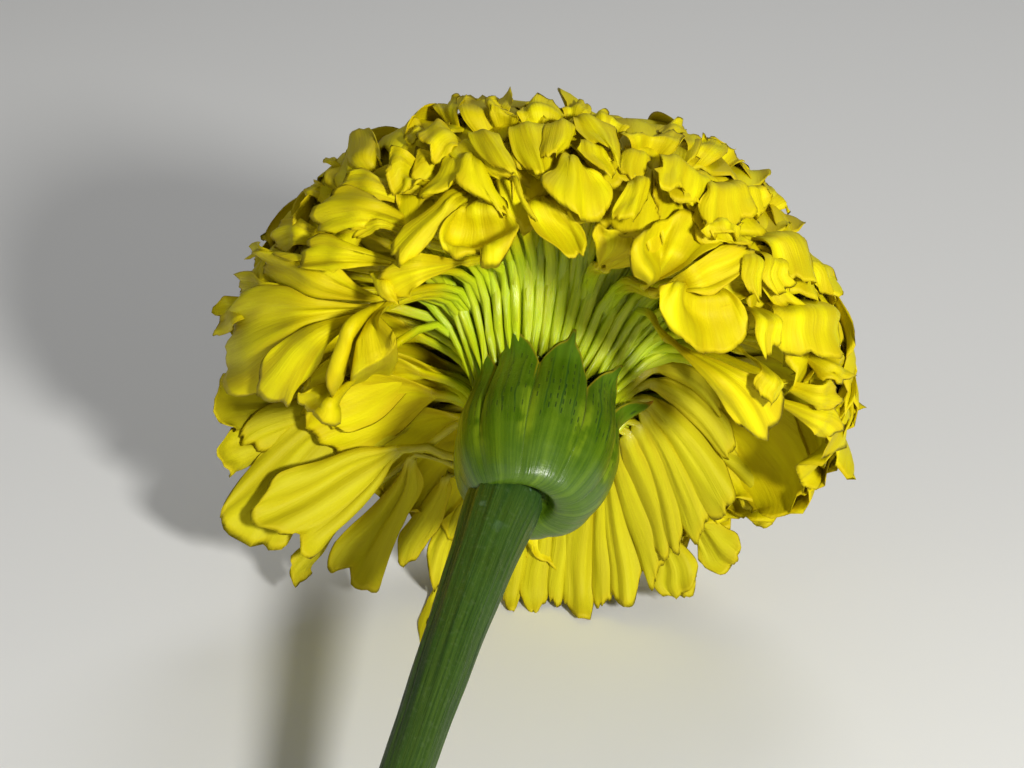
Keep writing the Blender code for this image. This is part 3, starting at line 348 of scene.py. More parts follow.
        ((21, 42.6, -0.2), (22, 42.4, -2.7), (22, 42.0, -4.6), (22, 41.4, -6.4)),
    )),
    Traced("wing_behind", 0.25, True, ((21, 8.6, 1.0), (21, 10.8, 4.8), (20, 13.8, 8.4), (18, 18.7, 10.7), (16, 25.9, 10.8), (15, 34.8, 9.0)), (
        ((16, 42.3, 3.5), (16, 42.2, 0.7), (15, 41.7, -1.7)),
        ((18, 42.5, 3.9), (18, 42.6, 0.8), (19, 42.1, -1.7)),
        ((20, 42.5, 4.5), (21, 42.8, 1.7), (22, 42.5, -0.0)),
    )),
    Traced("rolled_tip", 0.18, True, ((3, 8.1, 1.2), (4, 9.9, 5.1), (4, 12.8, 8.5), (4, 17.8, 9.6), (3, 25.2, 7.1), (3, 34.2, 1.8)), (
        ((2, 39.9, -7.0), (3, 38.8, -9.0), (5, 38.5, -11.2), (9, 38.4, -13.0)),
        ((4, 39.8, -6.3), (6, 38.4, -8.1), (9, 37.8, -10.3), (12, 38.0, -13.4)),
        ((5, 39.9, -6.2), (8, 38.3, -7.7), (11, 37.8, -9.6), (14, 37.7, -13.7)),
        ((7, 39.9, -6.7), (10, 38.8, -7.9), (12, 38.3, -9.5), (15, 38.5, -12.9)),
        ((9, 40.1, -7.5), (11, 39.6, -8.5), (13, 39.3, -9.7), (14, 39.1, -11.6)),
    )),
    Traced("crinkle", 0.5, True, ((26, 8.1, 1.2), (25, 9.9, 5.1), (24, 12.6, 8.3), (21, 17.0, 8.5), (19, 23.2, 3.8), (18, 30.3, -4.5)), (
        ((16, 35.8, -8.3), (14, 37.4, -7.6), (13, 38.7, -7.1)),
        ((18, 35.7, -7.2), (17, 37.2, -6.6), (16, 38.8, -6.4)),
        ((20, 36.1, -7.2), (20, 37.7, -6.5), (19, 39.0, -6.4)),
        ((23, 36.2, -7.8), (23, 37.7, -7.2), (22, 39.0, -6.8)),
    )),
    Traced("funnel", 0.14, True, ((37, 8.6, 1.0), (36, 10.8, 4.8), (34, 13.7, 8.0), (33, 17.8, 8.1), (31, 23.5, 3.6), (30, 30.2, -4.6)), (
        ((26, 37.6, -13.2), (23, 38.6, -14.2), (21, 39.6, -14.6), (20, 40.6, -13.8)),
        ((26, 39.4, -14.0), (23, 41.2, -14.6), (21, 42.7, -14.1), (20, 44.0, -12.4)),
        ((28, 36.9, -10.1), (25, 37.4, -8.6), (23, 38.4, -8.0), (22, 41.4, -7.6)),
        ((28, 36.5, -7.4), (27, 37.7, -5.3), (27, 39.1, -4.0), (26, 41.3, -3.4)),
        ((29, 37.4, -7.1), (29, 39.1, -4.8), (29, 40.4, -2.5), (29, 42.0, -1.1)),
        ((31, 37.7, -7.2), (32, 39.7, -4.8), (33, 41.0, -2.9), (34, 42.2, -2.1)),
        ((32, 38.4, -8.5), (34, 40.5, -6.8), (36, 42.2, -4.8), (38, 43.6, -2.9)),
    )),
    Traced("funnel_right", 0.25, True, ((41, 8.1, 1.2), (41, 9.9, 5.1), (39, 12.6, 8.3), (35, 17.0, 8.4), (33, 23.0, 3.6), (32, 30.0, -4.8)), (
        ((32, 38.4, -9.2), (34, 40.5, -7.5), (36, 42.1, -5.6), (39, 43.6, -2.6)),
        ((34, 37.9, -9.4), (36, 39.7, -7.8), (39, 41.6, -6.0), (41, 43.2, -3.4)),
        ((35, 37.4, -10.0), (38, 38.7, -8.7), (40, 40.6, -7.4), (42, 42.5, -5.1)),
        ((34, 37.1, -11.0), (38, 38.1, -10.4), (40, 39.5, -9.6), (42, 41.3, -8.4)),
    )),
    Traced("funnel_lip", 0.16, True, ((52, 8.6, 1.0), (51, 10.8, 4.8), (47, 13.7, 8.0), (43, 18.1, 8.6), (40, 24.5, 4.8), (39, 32.2, -2.2)), (
        ((31, 38.5, -12.2), (28, 38.2, -14.0), (27, 37.5, -15.2), (29, 36.4, -16.0)),
        ((31, 39.5, -13.3), (31, 38.7, -15.5), (32, 37.4, -16.8), (36, 35.0, -17.7)),
        ((33, 37.4, -10.6), (34, 36.1, -12.0), (36, 35.8, -14.2), (40, 34.3, -17.2)),
        ((37, 36.5, -9.2), (39, 35.1, -10.5), (41, 35.2, -13.4), (43, 34.8, -15.3)),
        ((39, 36.9, -8.3), (42, 35.8, -9.8), (45, 35.6, -12.1), (47, 35.7, -14.3)),
        ((41, 37.8, -7.8), (45, 37.2, -9.0), (47, 37.1, -10.8), (49, 37.4, -12.8)),
        ((42, 39.0, -8.0), (45, 39.1, -8.9), (47, 39.1, -9.9), (49, 38.9, -11.2)),
    )),
    Traced("funnel_top", 0.25, True, ((34, 8.1, 1.2), (33, 9.9, 5.1), (31, 12.8, 8.8), (28, 17.8, 11.5), (27, 25.2, 12.3), (26, 34.2, 11.6)), (
        ((22, 43.7, 2.4), (22, 43.9, -1.5), (22, 43.6, -4.4), (23, 43.0, -6.8)),
        ((24, 43.8, 3.5), (24, 44.3, -0.7), (24, 44.0, -3.3), (24, 43.4, -5.1)),
        ((26, 43.8, 3.8), (26, 44.3, 0.4), (26, 44.3, -0.9), (27, 44.1, -1.7)),
        ((28, 43.5, 3.7), (29, 44.1, 0.1), (29, 43.8, -2.1), (30, 43.4, -3.7)),
        ((31, 43.2, 4.2), (32, 43.5, 2.8), (32, 43.8, 1.8), (32, 43.8, -0.4)),
    )),
    Traced("right_mid", 0.25, True, ((44, 8.6, 1.0), (43, 10.8, 4.8), (41, 13.8, 8.5), (38, 18.5, 11.4), (35, 25.4, 12.7), (34, 33.9, 12.5)), (
        ((31, 43.3, 1.4), (30, 42.7, -1.9), (31, 42.4, -4.2), (33, 42.1, -6.0)),
        ((32, 43.4, 3.0), (33, 43.3, -1.1), (34, 42.8, -3.9), (35, 42.4, -5.6)),
        ((35, 43.2, 4.9), (36, 43.6, 1.2), (38, 43.4, -0.8), (39, 43.1, -2.0)),
        ((37, 42.6, 6.5), (39, 42.9, 4.7), (40, 43.1, 2.8), (42, 43.3, 1.3)),
    )),
    Traced("right_mid_small", 0.4, True, ((49, 8.1, 1.2), (47, 9.9, 5.1), (45, 12.8, 8.6), (40, 17.8, 9.9), (37, 25.4, 8.0), (35, 34.6, 3.4)), (
        ((32, 42.6, -4.1), (31, 42.4, -5.9), (33, 42.4, -6.7)),
        ((34, 42.8, -2.8), (35, 42.7, -3.9), (37, 42.7, -4.5)),
        ((37, 43.1, -1.8), (39, 43.2, -2.1), (39, 43.0, -4.1)),
    )),
    Traced("right_upper", 0.35, True, ((54, 7.6, 1.4), (53, 9.1, 5.4), (49, 11.7, 9.2), (44, 16.8, 11.9), (40, 24.6, 13.0), (39, 33.8, 12.6)), (
        ((36, 42.5, 5.9), (36, 42.9, 2.7), (40, 43.0, 0.9)),
        ((39, 42.5, 8.0), (41, 42.7, 6.5), (43, 43.1, 4.2)),
        ((42, 42.0, 9.4), (44, 42.1, 9.1), (45, 42.6, 7.3)),
    )),
    Traced("right_spike", 0.2, True, ((69, 8.6, 1.0), (66, 10.7, 4.8), (60, 13.7, 8.4), (53, 18.5, 10.8), (47, 25.8, 11.2), (45, 34.7, 9.7)), (
        ((44, 41.4, 9.7), (45, 39.6, 14.6), (45, 39.3, 17.2)),
        ((47, 40.8, 12.0), (49, 39.5, 16.1), (50, 39.1, 16.8)),
        ((50, 40.6, 12.3), (50, 41.1, 11.0), (51, 41.5, 9.3)),
    )),
    Traced("right_flank", 0.4, True, ((66, 8.1, 1.2), (63, 9.9, 5.1), (58, 12.7, 8.6), (51, 17.8, 10.4), (46, 25.6, 9.3), (44, 35.0, 5.9)), (
        ((43, 42.7, -0.5), (46, 42.6, -2.2), (48, 42.2, -4.6)),
        ((46, 43.3, 1.9), (50, 43.4, 0.3), (52, 42.7, -3.4)),
        ((51, 42.6, 6.6), (55, 42.7, 5.5), (56, 42.7, -1.2)),
    )),
    Traced("right_horn", 0.3, True, ((75, 8.1, 1.2), (72, 9.9, 5.1), (68, 12.7, 8.6), (61, 17.8, 10.5), (56, 25.6, 9.4), (54, 35.0, 6.2)), (
        ((55, 42.4, 2.9), (57, 42.2, 2.0), (58, 41.8, 0.1)),
        ((57, 42.3, 5.5), (61, 42.3, 4.7), (65, 42.4, 4.0)),
        ((62, 41.6, 9.9), (67, 41.9, 10.4), (72, 41.8, 10.0)),
    )),
    Traced("right_square", 0.3, True, ((77, 8.6, 1.0), (75, 10.7, 4.8), (70, 13.7, 8.1), (63, 18.4, 9.3), (58, 25.5, 6.9), (55, 34.2, 1.6)), (
        ((50, 40.4, -7.2), (52, 39.1, -9.2), (56, 38.0, -10.8)),
        ((53, 41.7, -5.8), (56, 40.9, -8.0), (60, 39.8, -9.6)),
        ((58, 42.3, -2.1), (61, 41.8, -4.7), (65, 41.1, -7.2)),
        ((64, 42.7, 2.3), (66, 42.4, -0.6), (68, 41.5, -4.7)),
    )),
    Traced("right_wavy_a", 0.5, True, ((57, 8.1, 1.2), (55, 9.9, 5.1), (52, 12.7, 8.5), (47, 17.7, 9.8), (43, 25.3, 7.6), (41, 34.5, 2.8)), (
        ((40, 42.2, -5.0), (41, 41.5, -8.2), (44, 40.5, -10.0)),
        ((42, 42.7, -4.3), (43, 42.1, -7.8), (46, 41.2, -9.5)),
        ((44, 42.6, -3.1), (46, 42.2, -6.0), (48, 41.6, -7.9)),
    )),
    Traced("right_wavy_b", 0.5, True, ((63, 7.6, 1.4), (61, 9.1, 5.4), (56, 11.7, 8.9), (50, 17.0, 10.3), (46, 25.1, 8.4), (44, 34.8, 4.0)), (
        ((44, 42.2, -2.6), (45, 41.6, -6.0), (48, 41.1, -7.4)),
        ((46, 42.7, -1.8), (47, 42.3, -4.4), (51, 42.2, -5.3)),
        ((48, 42.5, -1.4), (50, 42.3, -2.8), (54, 42.4, -2.7)),
    )),
    Traced("right_hook", 0.4, True, ((72, 7.6, 1.4), (69, 9.1, 5.4), (64, 11.7, 8.8), (57, 16.6, 9.4), (51, 24.1, 5.7), (49, 33.1, -1.1)), (
        ((47, 39.7, -10.2), (49, 38.7, -12.4), (52, 38.1, -13.6)),
        ((49, 40.6, -9.7), (51, 39.8, -11.7), (54, 38.9, -13.4)),
        ((51, 40.9, -8.6), (53, 40.1, -10.1), (55, 39.2, -11.5)),
    )),
    Traced("right_rim_a", 0.4, True, ((84, 8.1, 1.2), (82, 9.9, 5.1), (77, 12.7, 8.6), (70, 17.7, 10.0), (65, 25.4, 8.1), (63, 34.7, 3.7)), (
        ((64, 42.0, 0.8), (68, 42.1, 1.3), (72, 41.9, 0.5)),
        ((63, 41.4, -2.4), (66, 41.3, -2.9), (70, 41.5, -2.0)),
    )),
    Traced("right_rim_b", 0.5, True, ((86, 8.6, 1.0), (84, 10.7, 4.8), (80, 13.7, 8.1), (74, 18.4, 9.2), (69, 25.4, 6.6), (67, 34.0, 1.1)), (
        ((70, 41.4, -1.3), (73, 42.0, 0.9), (77, 42.3, 3.2)),
        ((69, 41.0, -4.0), (73, 41.4, -2.3), (75, 41.6, -1.3)),
        ((69, 40.0, -5.6), (71, 40.2, -5.3), (72, 40.2, -5.2)),
    )),
    Traced("right_lobe_c", 0.4, True, ((90, 7.6, 1.4), (88, 9.1, 5.4), (82, 11.6, 8.7), (75, 16.3, 9.0), (70, 23.3, 4.6), (68, 31.4, -3.2)), (
        ((69, 39.3, -7.3), (71, 40.8, -5.0), (74, 41.4, -2.7)),
        ((70, 38.7, -8.5), (73, 40.1, -6.7), (76, 41.0, -4.9)),
        ((72, 38.2, -8.7), (75, 39.1, -7.5), (77, 40.0, -6.4)),
    )),
    Traced("right_lobe_d", 0.4, True, ((93, 8.1, 1.2), (90, 9.9, 5.1), (85, 12.6, 8.3), (79, 17.0, 8.5), (74, 23.3, 4.0), (72, 30.7, -4.0)), (
        ((74, 38.5, -7.4), (77, 40.0, -5.7), (80, 40.5, -4.8)),
        ((75, 37.9, -8.6), (79, 39.1, -7.1), (83, 39.9, -6.2)),
        ((77, 37.1, -9.2), (81, 37.7, -8.4), (84, 38.4, -7.6)),
    )),
    Traced("right_curled", 0.5, True, ((81, 7.6, 1.4), (78, 9.1, 5.4), (74, 11.6, 8.7), (67, 16.2, 8.9), (62, 23.0, 4.3), (59, 31.0, -3.7)), (
        ((54, 37.4, -13.6), (54, 36.2, -15.1), (56, 35.2, -16.5)),
        ((57, 37.8, -13.7), (58, 36.8, -15.1), (60, 35.8, -16.2)),
        ((59, 38.2, -12.6), (62, 38.0, -13.4), (63, 37.1, -14.7)),
    )),
    Traced("right_folded", 0.3, True, ((60, 8.6, 1.0), (58, 10.7, 4.8), (54, 13.5, 7.9), (48, 17.1, 7.8), (44, 21.6, 2.4), (42, 26.7, -6.7)), (
        ((48, 31.3, -14.8), (57, 30.9, -15.5), (66, 31.2, -16.0)),
        ((49, 32.8, -14.9), (58, 33.0, -15.4), (69, 32.8, -16.2)),
        ((51, 33.5, -13.6), (59, 34.7, -13.6), (69, 35.4, -14.0)),
        ((53, 34.4, -12.6), (60, 36.8, -11.8), (67, 38.8, -10.0)),
    )),
    Traced("right_lobe_g", 0.4, False, ((116, 8.3, 0.4), (116, 10.3, 3.8), (117, 12.9, 7.1), (117, 16.2, 10.0), (117, 20.3, 12.1), (116, 24.7, 13.3)), (
        ((113, 32.2, 11.8), (110, 35.4, 11.0), (108, 37.6, 9.6)),
        ((114, 32.2, 10.8), (112, 35.5, 9.8), (109, 38.6, 8.0)),
        ((116, 32.6, 10.5), (114, 35.7, 9.5), (113, 38.3, 7.9)),
    )),
    Traced("right_lobe_h", 0.4, False, ((119, 7.2, 0.7), (119, 8.5, 4.3), (119, 10.9, 7.6), (118, 15.1, 10.2), (118, 20.9, 11.7), (118, 27.4, 12.3)), (
        ((116, 34.7, 10.5), (115, 36.5, 9.6), (114, 38.0, 8.8)),
        ((118, 34.6, 10.0), (118, 36.2, 9.0), (119, 37.4, 7.6)),
    )),
    Traced("strip_1", 0.15, False, ((104, 7.6, -1.0), (104, 9.6, 4.6), (98, 11.7, 8.0), (92, 13.8, 9.9)), (
        ((90, 16.6, 11.3), (96, 20.1, 12.3), (102, 23.0, 11.7), (106, 25.1, 10.4)),
        ((93, 16.4, 10.8), (98, 19.8, 11.3), (103, 22.6, 10.8), (107, 24.7, 9.9)),
        ((97, 16.0, 10.5), (102, 19.5, 10.8), (106, 22.4, 10.4), (109, 24.8, 9.8)),
    )),
    Traced("strip_2", 0.15, False, ((109, 7.6, -1.0), (109, 9.9, 4.5), (103, 11.7, 7.3), (100, 13.6, 9.1)), (
        ((99, 16.3, 10.9), (105, 21.1, 11.2), (109, 25.2, 10.4), (113, 28.0, 8.3)),
        ((101, 16.0, 9.7), (106, 20.3, 9.7), (111, 24.1, 8.8), (116, 28.2, 6.5)),
        ((105, 15.6, 9.0), (111, 19.3, 9.0), (115, 23.4, 8.0), (119, 27.5, 6.4)),
    )),
    Traced("strip_3", 0.15, False, ((117, 7.6, -1.0), (117, 10.7, 4.7), (109, 11.8, 6.6), (107, 13.5, 7.9)), (
        ((108, 16.2, 9.1), (113, 21.1, 9.2), (118, 26.2, 7.7), (121, 30.8, 4.9)),
        ((110, 16.0, 8.0), (116, 20.6, 7.6), (121, 25.7, 6.2), (125, 31.5, 3.0)),
        ((112, 15.7, 7.4), (119, 20.0, 7.1), (125, 25.7, 5.4), (129, 31.7, 2.3)),
        ((115, 15.4, 7.0), (124, 19.6, 6.9), (131, 25.5, 5.2), (135, 31.5, 2.6)),
    )),
    Traced("strip_4", 0.15, False, ((122, 7.6, -1.0), (122, 11.5, 4.9), (114, 12.3, 6.3), (113, 13.8, 7.3)), (
        ((115, 16.2, 7.7), (123, 20.8, 7.1), (129, 26.7, 5.4), (133, 31.6, 2.7)),
        ((116, 15.5, 6.7), (125, 20.1, 6.3), (133, 26.2, 4.8), (137, 31.9, 2.0)),
        ((119, 15.0, 6.3), (130, 20.1, 6.3), (138, 25.9, 5.2), (142, 32.2, 2.3)),
    )),
    Traced("strip_5", 0.15, False, ((128, 7.6, -1.0), (128, 12.3, 5.3), (120, 12.7, 6.1), (121, 13.9, 6.5)), (
        ((121, 16.3, 6.7), (129, 21.0, 6.4), (135, 25.2, 5.5), (142, 31.8, 2.7)),
        ((122, 15.4, 5.8), (133, 20.2, 6.0), (139, 25.0, 5.1), (145, 32.1, 2.0)),
        ((126, 14.8, 5.7), (138, 20.3, 6.3), (144, 25.5, 5.4), (148, 32.3, 2.4)),
    )),
    Traced("strip_6", 0.15, False, ((136, 7.6, -1.0), (136, 13.0, 5.6), (126, 12.5, 5.5), (128, 13.9, 6.0)), (
        ((127, 15.6, 6.0), (137, 21.9, 6.3), (141, 27.2, 5.4), (145, 31.5, 3.2)),
        ((131, 15.2, 5.3), (141, 21.7, 5.7), (145, 27.1, 4.7), (148, 32.2, 2.1)),
        ((137, 15.0, 5.6), (149, 22.1, 6.3), (151, 28.1, 5.0), (152, 33.1, 2.3)),
    )),
    Traced("strip_7", 0.15, False, ((147, 7.6, -1.0), (147, 14.7, 6.6), (135, 12.9, 5.4), (138, 14.7, 6.2)), (
        ((141, 16.9, 6.5), (147, 24.2, 6.4), (149, 30.2, 4.5), (150, 33.6, 2.7)),
        ((145, 17.0, 6.2), (152, 24.7, 5.8), (153, 31.0, 3.4), (154, 35.4, 0.9)),
        ((150, 17.3, 6.6), (157, 25.2, 6.2), (157, 31.8, 3.6), (157, 36.5, 0.6)),
    )),
    Traced("strip_8", 0.2, False, ((156, 7.6, -1.0), (156, 16.6, 7.2), (150, 15.1, 6.5), (151, 16.8, 6.8)), (
        ((150, 19.2, 7.3), (154, 27.6, 6.2), (156, 33.0, 3.4), (158, 36.3, 1.3)),
        ((154, 19.6, 7.0), (159, 27.5, 5.5), (160, 32.9, 2.7), (161, 37.2, -0.2)),
        ((157, 19.9, 7.4), (162, 27.5, 6.0), (163, 32.9, 3.2), (164, 37.7, -0.0)),
        ((160, 20.4, 7.6), (165, 27.3, 6.4), (166, 33.1, 3.6), (167, 37.5, 0.6)),
    )),
    Traced("strip_9", 0.2, False, ((164, 7.6, -1.0), (164, 19.9, 8.0), (161, 19.0, 7.6), (161, 20.6, 7.7)), (
        ((160, 22.8, 7.4), (163, 28.9, 6.2), (164, 33.4, 3.7), (166, 37.5, 0.9)),
        ((162, 22.9, 6.9), (166, 28.7, 5.5), (167, 33.2, 3.0), (168, 37.6, 0.0)),
        ((165, 23.2, 7.2), (169, 29.4, 5.8), (170, 34.2, 3.1), (171, 37.4, 0.8)),
    )),
    Traced("strip_10", 0.2, False, ((170, 7.6, -1.0), (170, 21.7, 8.2), (168, 21.3, 8.1), (167, 22.2, 7.7)), (
        ((166, 25.6, 7.1), (168, 30.8, 5.3), (169, 35.4, 2.8), (169, 38.1, 0.6)),
        ((168, 25.3, 6.6), (171, 30.7, 4.6), (172, 35.5, 1.8), (171, 37.5, -2.2)),
        ((172, 25.6, 7.0), (175, 31.1, 5.0), (175, 35.7, 2.4), (175, 37.6, -0.9)),
        ((175, 25.9, 7.2), (178, 31.3, 5.2), (179, 35.8, 2.8), (177, 38.0, 0.9)),
    )),
    Traced("strip_11", 0.2, False, ((176, 7.0, 0.4), (176, 8.2, 3.6), (176, 10.3, 6.4), (176, 13.6, 8.6), (176, 17.8, 9.6), (176, 21.9, 9.6)), (
        ((173, 28.9, 6.8), (175, 32.8, 4.8), (176, 36.1, 2.9), (177, 37.9, 1.4)),
        ((177, 28.9, 6.4), (178, 32.4, 4.3), (179, 35.8, 2.4), (179, 37.9, 0.8)),
        ((-179, 29.3, 6.6), (-178, 33.0, 4.7), (-178, 35.9, 3.1), (-179, 37.6, 1.7)),
    )),
    Traced("strip_12", 0.2, False, ((-179, 8.0, 0.0), (-179, 9.9, 3.0), (-179, 12.3, 5.7), (-179, 15.6, 8.0), (-179, 19.5, 9.1), (-179, 23.8, 9.3)), (
        ((179, 31.2, 6.0), (179, 34.2, 4.4), (-180, 36.7, 2.8), (-179, 38.3, 1.5)),
        ((-178, 30.9, 5.3), (-177, 33.9, 3.5), (-177, 36.6, 1.7), (-178, 37.3, -1.4)),
        ((-174, 31.3, 5.8), (-173, 34.2, 4.2), (-173, 36.8, 2.6), (-174, 38.2, 0.8)),
    )),
    Traced("strip_13", 0.2, False, ((-173, 7.0, 0.3), (-173, 8.2, 3.6), (-173, 10.4, 6.4), (-173, 14.3, 8.4), (-173, 19.6, 9.2), (-173, 25.2, 8.9)), (
        ((-175, 32.4, 5.4), (-175, 35.0, 3.9), (-174, 37.2, 2.4), (-174, 37.9, -0.1)),
        ((-172, 32.4, 4.6), (-172, 35.0, 3.1), (-172, 37.1, 1.5), (-172, 37.8, -1.2)),
        ((-169, 32.8, 4.9), (-169, 35.3, 3.6), (-169, 37.4, 2.1), (-169, 38.6, 0.5)),
    )),
    Traced("low_lobe_big", 0.3, False, ((151, 8.0, -0.0), (152, 9.9, 3.0), (152, 12.4, 5.7), (153, 16.4, 7.7), (152, 21.7, 8.4), (152, 27.8, 7.9)), (
        ((155, 33.4, 4.4), (157, 35.3, 3.4), (157, 36.9, 2.2)),
        ((152, 33.8, 3.7), (154, 36.3, 2.0), (153, 38.2, 0.5)),
        ((149, 34.3, 3.4), (150, 36.9, 1.6), (150, 38.6, 0.2)),
        ((145, 34.5, 3.7), (145, 36.7, 2.3), (146, 38.1, 1.1)),
    )),
    Traced("lower_right_big", 0.45, False, ((124, 7.6, 0.4), (124, 9.2, 3.6), (123, 11.5, 6.6), (123, 14.6, 9.1), (124, 18.1, 10.7), (124, 21.7, 11.3)), (
        ((118, 29.6, 10.5), (115, 32.2, 10.1), (114, 34.8, 9.1)),
        ((120, 29.5, 9.0), (119, 32.9, 7.6), (119, 35.5, 6.3)),
        ((123, 29.9, 8.7), (124, 33.3, 6.8), (125, 35.5, 5.2)),
        ((125, 29.9, 7.7), (127, 32.6, 5.7), (128, 34.9, 4.1)),
    )),
    Traced("lower_right_lobe", 0.45, False, ((129, 8.0, 0.1), (128, 9.9, 3.1), (128, 12.5, 6.0), (128, 16.4, 8.3), (128, 21.5, 9.6), (128, 27.4, 9.9)), (
        ((123, 33.9, 8.5), (122, 35.6, 8.1), (122, 37.3, 6.6)),
        ((126, 34.3, 7.1), (125, 36.6, 5.7), (125, 37.8, 4.6)),
        ((128, 34.8, 6.7), (129, 36.6, 5.4), (129, 37.7, 4.4)),
    )),
    Traced("low_fan", 0.45, False, ((140, 7.0, 0.4), (140, 8.2, 3.6), (140, 10.4, 6.4), (140, 14.4, 8.5), (140, 20.0, 9.3), (140, 26.1, 9.1)), (
        ((135, 33.8, 5.2), (133, 35.8, 4.2), (133, 37.8, 2.8)),
        ((138, 34.4, 4.3), (137, 36.5, 3.0), (135, 38.1, 1.7)),
        ((141, 35.1, 4.5), (141, 37.1, 3.1), (139, 38.5, 2.0)),
        ((143, 35.1, 4.2), (143, 36.8, 3.0), (143, 38.4, 1.7)),
    )),
    Traced("low_lobe", 0.4, False, ((149, 7.5, 0.2), (149, 9.0, 3.3), (149, 11.4, 6.1), (149, 15.6, 8.0), (149, 21.4, 8.7), (149, 27.9, 8.2)), (
        ((147, 36.3, 3.9), (146, 37.8, 2.6), (145, 38.7, 1.9)),
        ((150, 36.4, 3.5), (149, 38.2, 1.9), (149, 39.2, 1.2)),
        ((152, 36.4, 3.8), (153, 38.4, 2.2), (153, 39.6, 1.3)),
    )),
    Traced("top_a", 0.4, True, ((-9, 8.6, 1.0), (-8, 10.8, 4.8), (-8, 13.8, 8.3), (-7, 18.7, 10.2), (-7, 26.0, 9.4), (-6, 35.0, 6.4)), (
        ((-12, 41.9, 8.1), (-15, 40.1, 13.7), (-14, 38.7, 17.3)),
        ((-9, 42.2, 7.8), (-11, 40.3, 13.6), (-10, 39.7, 17.0)),
        ((-7, 41.9, 8.8), (-7, 40.1, 13.8), (-7, 39.2, 17.9)),
        ((-4, 42.2, 8.2), (-4, 41.4, 10.9), (-4, 40.2, 13.8)),
    )),
    Traced("top_b", 0.6, True, ((-6, 7.6, 1.4), (-6, 9.1, 5.4), (-6, 11.8, 9.0), (-6, 17.1, 11.0), (-5, 25.2, 10.4), (-5, 34.9, 7.8)), (
        ((-7, 42.8, 7.5), (-9, 41.6, 11.0), (-8, 41.4, 11.9)),
        ((-5, 42.8, 7.0), (-5, 42.7, 8.5), (-3, 43.0, 8.1)),
        ((-2, 42.9, 5.7), (-2, 43.1, 5.9), (-2, 43.3, 6.5)),
    )),
    Traced("top_c", 0.35, True, ((1, 7.6, 1.4), (2, 9.1, 5.4), (2, 11.8, 9.0), (2, 17.1, 10.9), (2, 25.2, 10.2), (2, 34.9, 7.3)), (
        ((-2, 42.0, 7.3), (-3, 41.9, 8.7), (-3, 41.6, 9.9)),
        ((0, 42.2, 7.9), (-1, 41.5, 10.4), (-1, 40.8, 12.3)),
        ((3, 41.9, 8.5), (2, 41.1, 11.3), (2, 40.1, 13.6)),
        ((5, 42.2, 7.5), (6, 42.1, 8.6), (6, 41.4, 10.8)),
    )),
    Traced("top_d", 0.6, True, ((8, 7.6, 1.4), (8, 9.1, 5.4), (8, 11.8, 9.1), (8, 17.1, 11.2), (7, 25.2, 10.9), (7, 34.8, 8.7)), (
        ((5, 41.2, 10.3), (4, 40.3, 12.6), (4, 39.8, 14.0)),
        ((7, 41.1, 10.7), (7, 40.1, 13.3), (7, 39.6, 14.3)),
        ((9, 41.4, 9.4), (10, 41.1, 10.7), (10, 40.4, 12.5)),
    )),
    Traced("top_e", 0.35, True, ((19, 8.1, 1.2), (18, 9.9, 5.1), (17, 12.8, 8.7), (15, 17.9, 10.7), (14, 25.6, 10.2), (13, 34.9, 7.7)), (
        ((11, 42.4, 7.6), (10, 42.2, 9.0), (11, 41.7, 10.4)),
        ((13, 42.6, 7.6), (13, 41.8, 10.4), (14, 41.4, 11.4)),
        ((16, 42.4, 7.1), (17, 42.2, 9.0), (17, 41.8, 9.9)),
    )),
    Traced("top_f", 0.35, True, ((28, 8.6, 1.0), (28, 10.8, 4.8), (26, 13.8, 8.3), (24, 18.7, 10.3), (22, 26.0, 9.6), (21, 35.0, 6.8)), (
        ((17, 42.7, 4.3), (15, 42.6, 5.4), (16, 42.5, 6.5)),
        ((19, 42.8, 6.2), (18, 42.6, 7.5), (19, 42.4, 8.8)),
        ((22, 42.4, 7.5), (22, 41.9, 9.7), (23, 41.2, 11.4)),
        ((25, 42.7, 6.8), (26, 42.4, 8.8), (26, 41.8, 10.4)),
    )),
    Traced("top_g", 0.5, True, ((31, 7.6, 1.4), (30, 9.1, 5.4), (29, 11.8, 9.1), (28, 17.0, 11.4), (26, 25.1, 11.5), (26, 34.7, 9.8)), (
        ((23, 41.3, 10.1), (22, 40.4, 12.4), (23, 39.4, 14.9)),
        ((26, 40.1, 13.2), (27, 38.7, 16.8), (28, 38.2, 18.5)),
        ((29, 40.1, 13.1), (30, 38.0, 17.9), (30, 38.5, 18.3)),
    )),
    Traced("top_h", 0.35, True, ((39, 7.6, 1.4), (38, 9.1, 5.4), (36, 11.8, 9.1), (33, 17.0, 11.3), (31, 25.1, 11.1), (30, 34.8, 9.1)), (
        ((27, 42.3, 8.1), (26, 41.2, 11.5), (28, 38.8, 16.9)),
        ((30, 41.7, 10.5), (32, 39.4, 16.0), (31, 39.9, 16.4)),
        ((33, 41.7, 10.1), (37, 39.1, 16.4), (37, 39.4, 16.6)),
    )),
    Traced("top_i", 0.5, True, ((47, 7.6, 1.3), (45, 9.1, 5.4), (43, 11.8, 9.2), (39, 16.9, 11.8), (36, 24.8, 12.5), (35, 34.2, 11.7)), (
        ((34, 38.8, 16.6), (32, 38.6, 18.0), (32, 39.3, 18.4)),
        ((37, 38.2, 17.8), (37, 39.0, 18.4), (37, 39.3, 18.6)),
        ((40, 38.9, 16.3), (42, 38.9, 18.1), (42, 39.2, 18.3)),
    )),
)


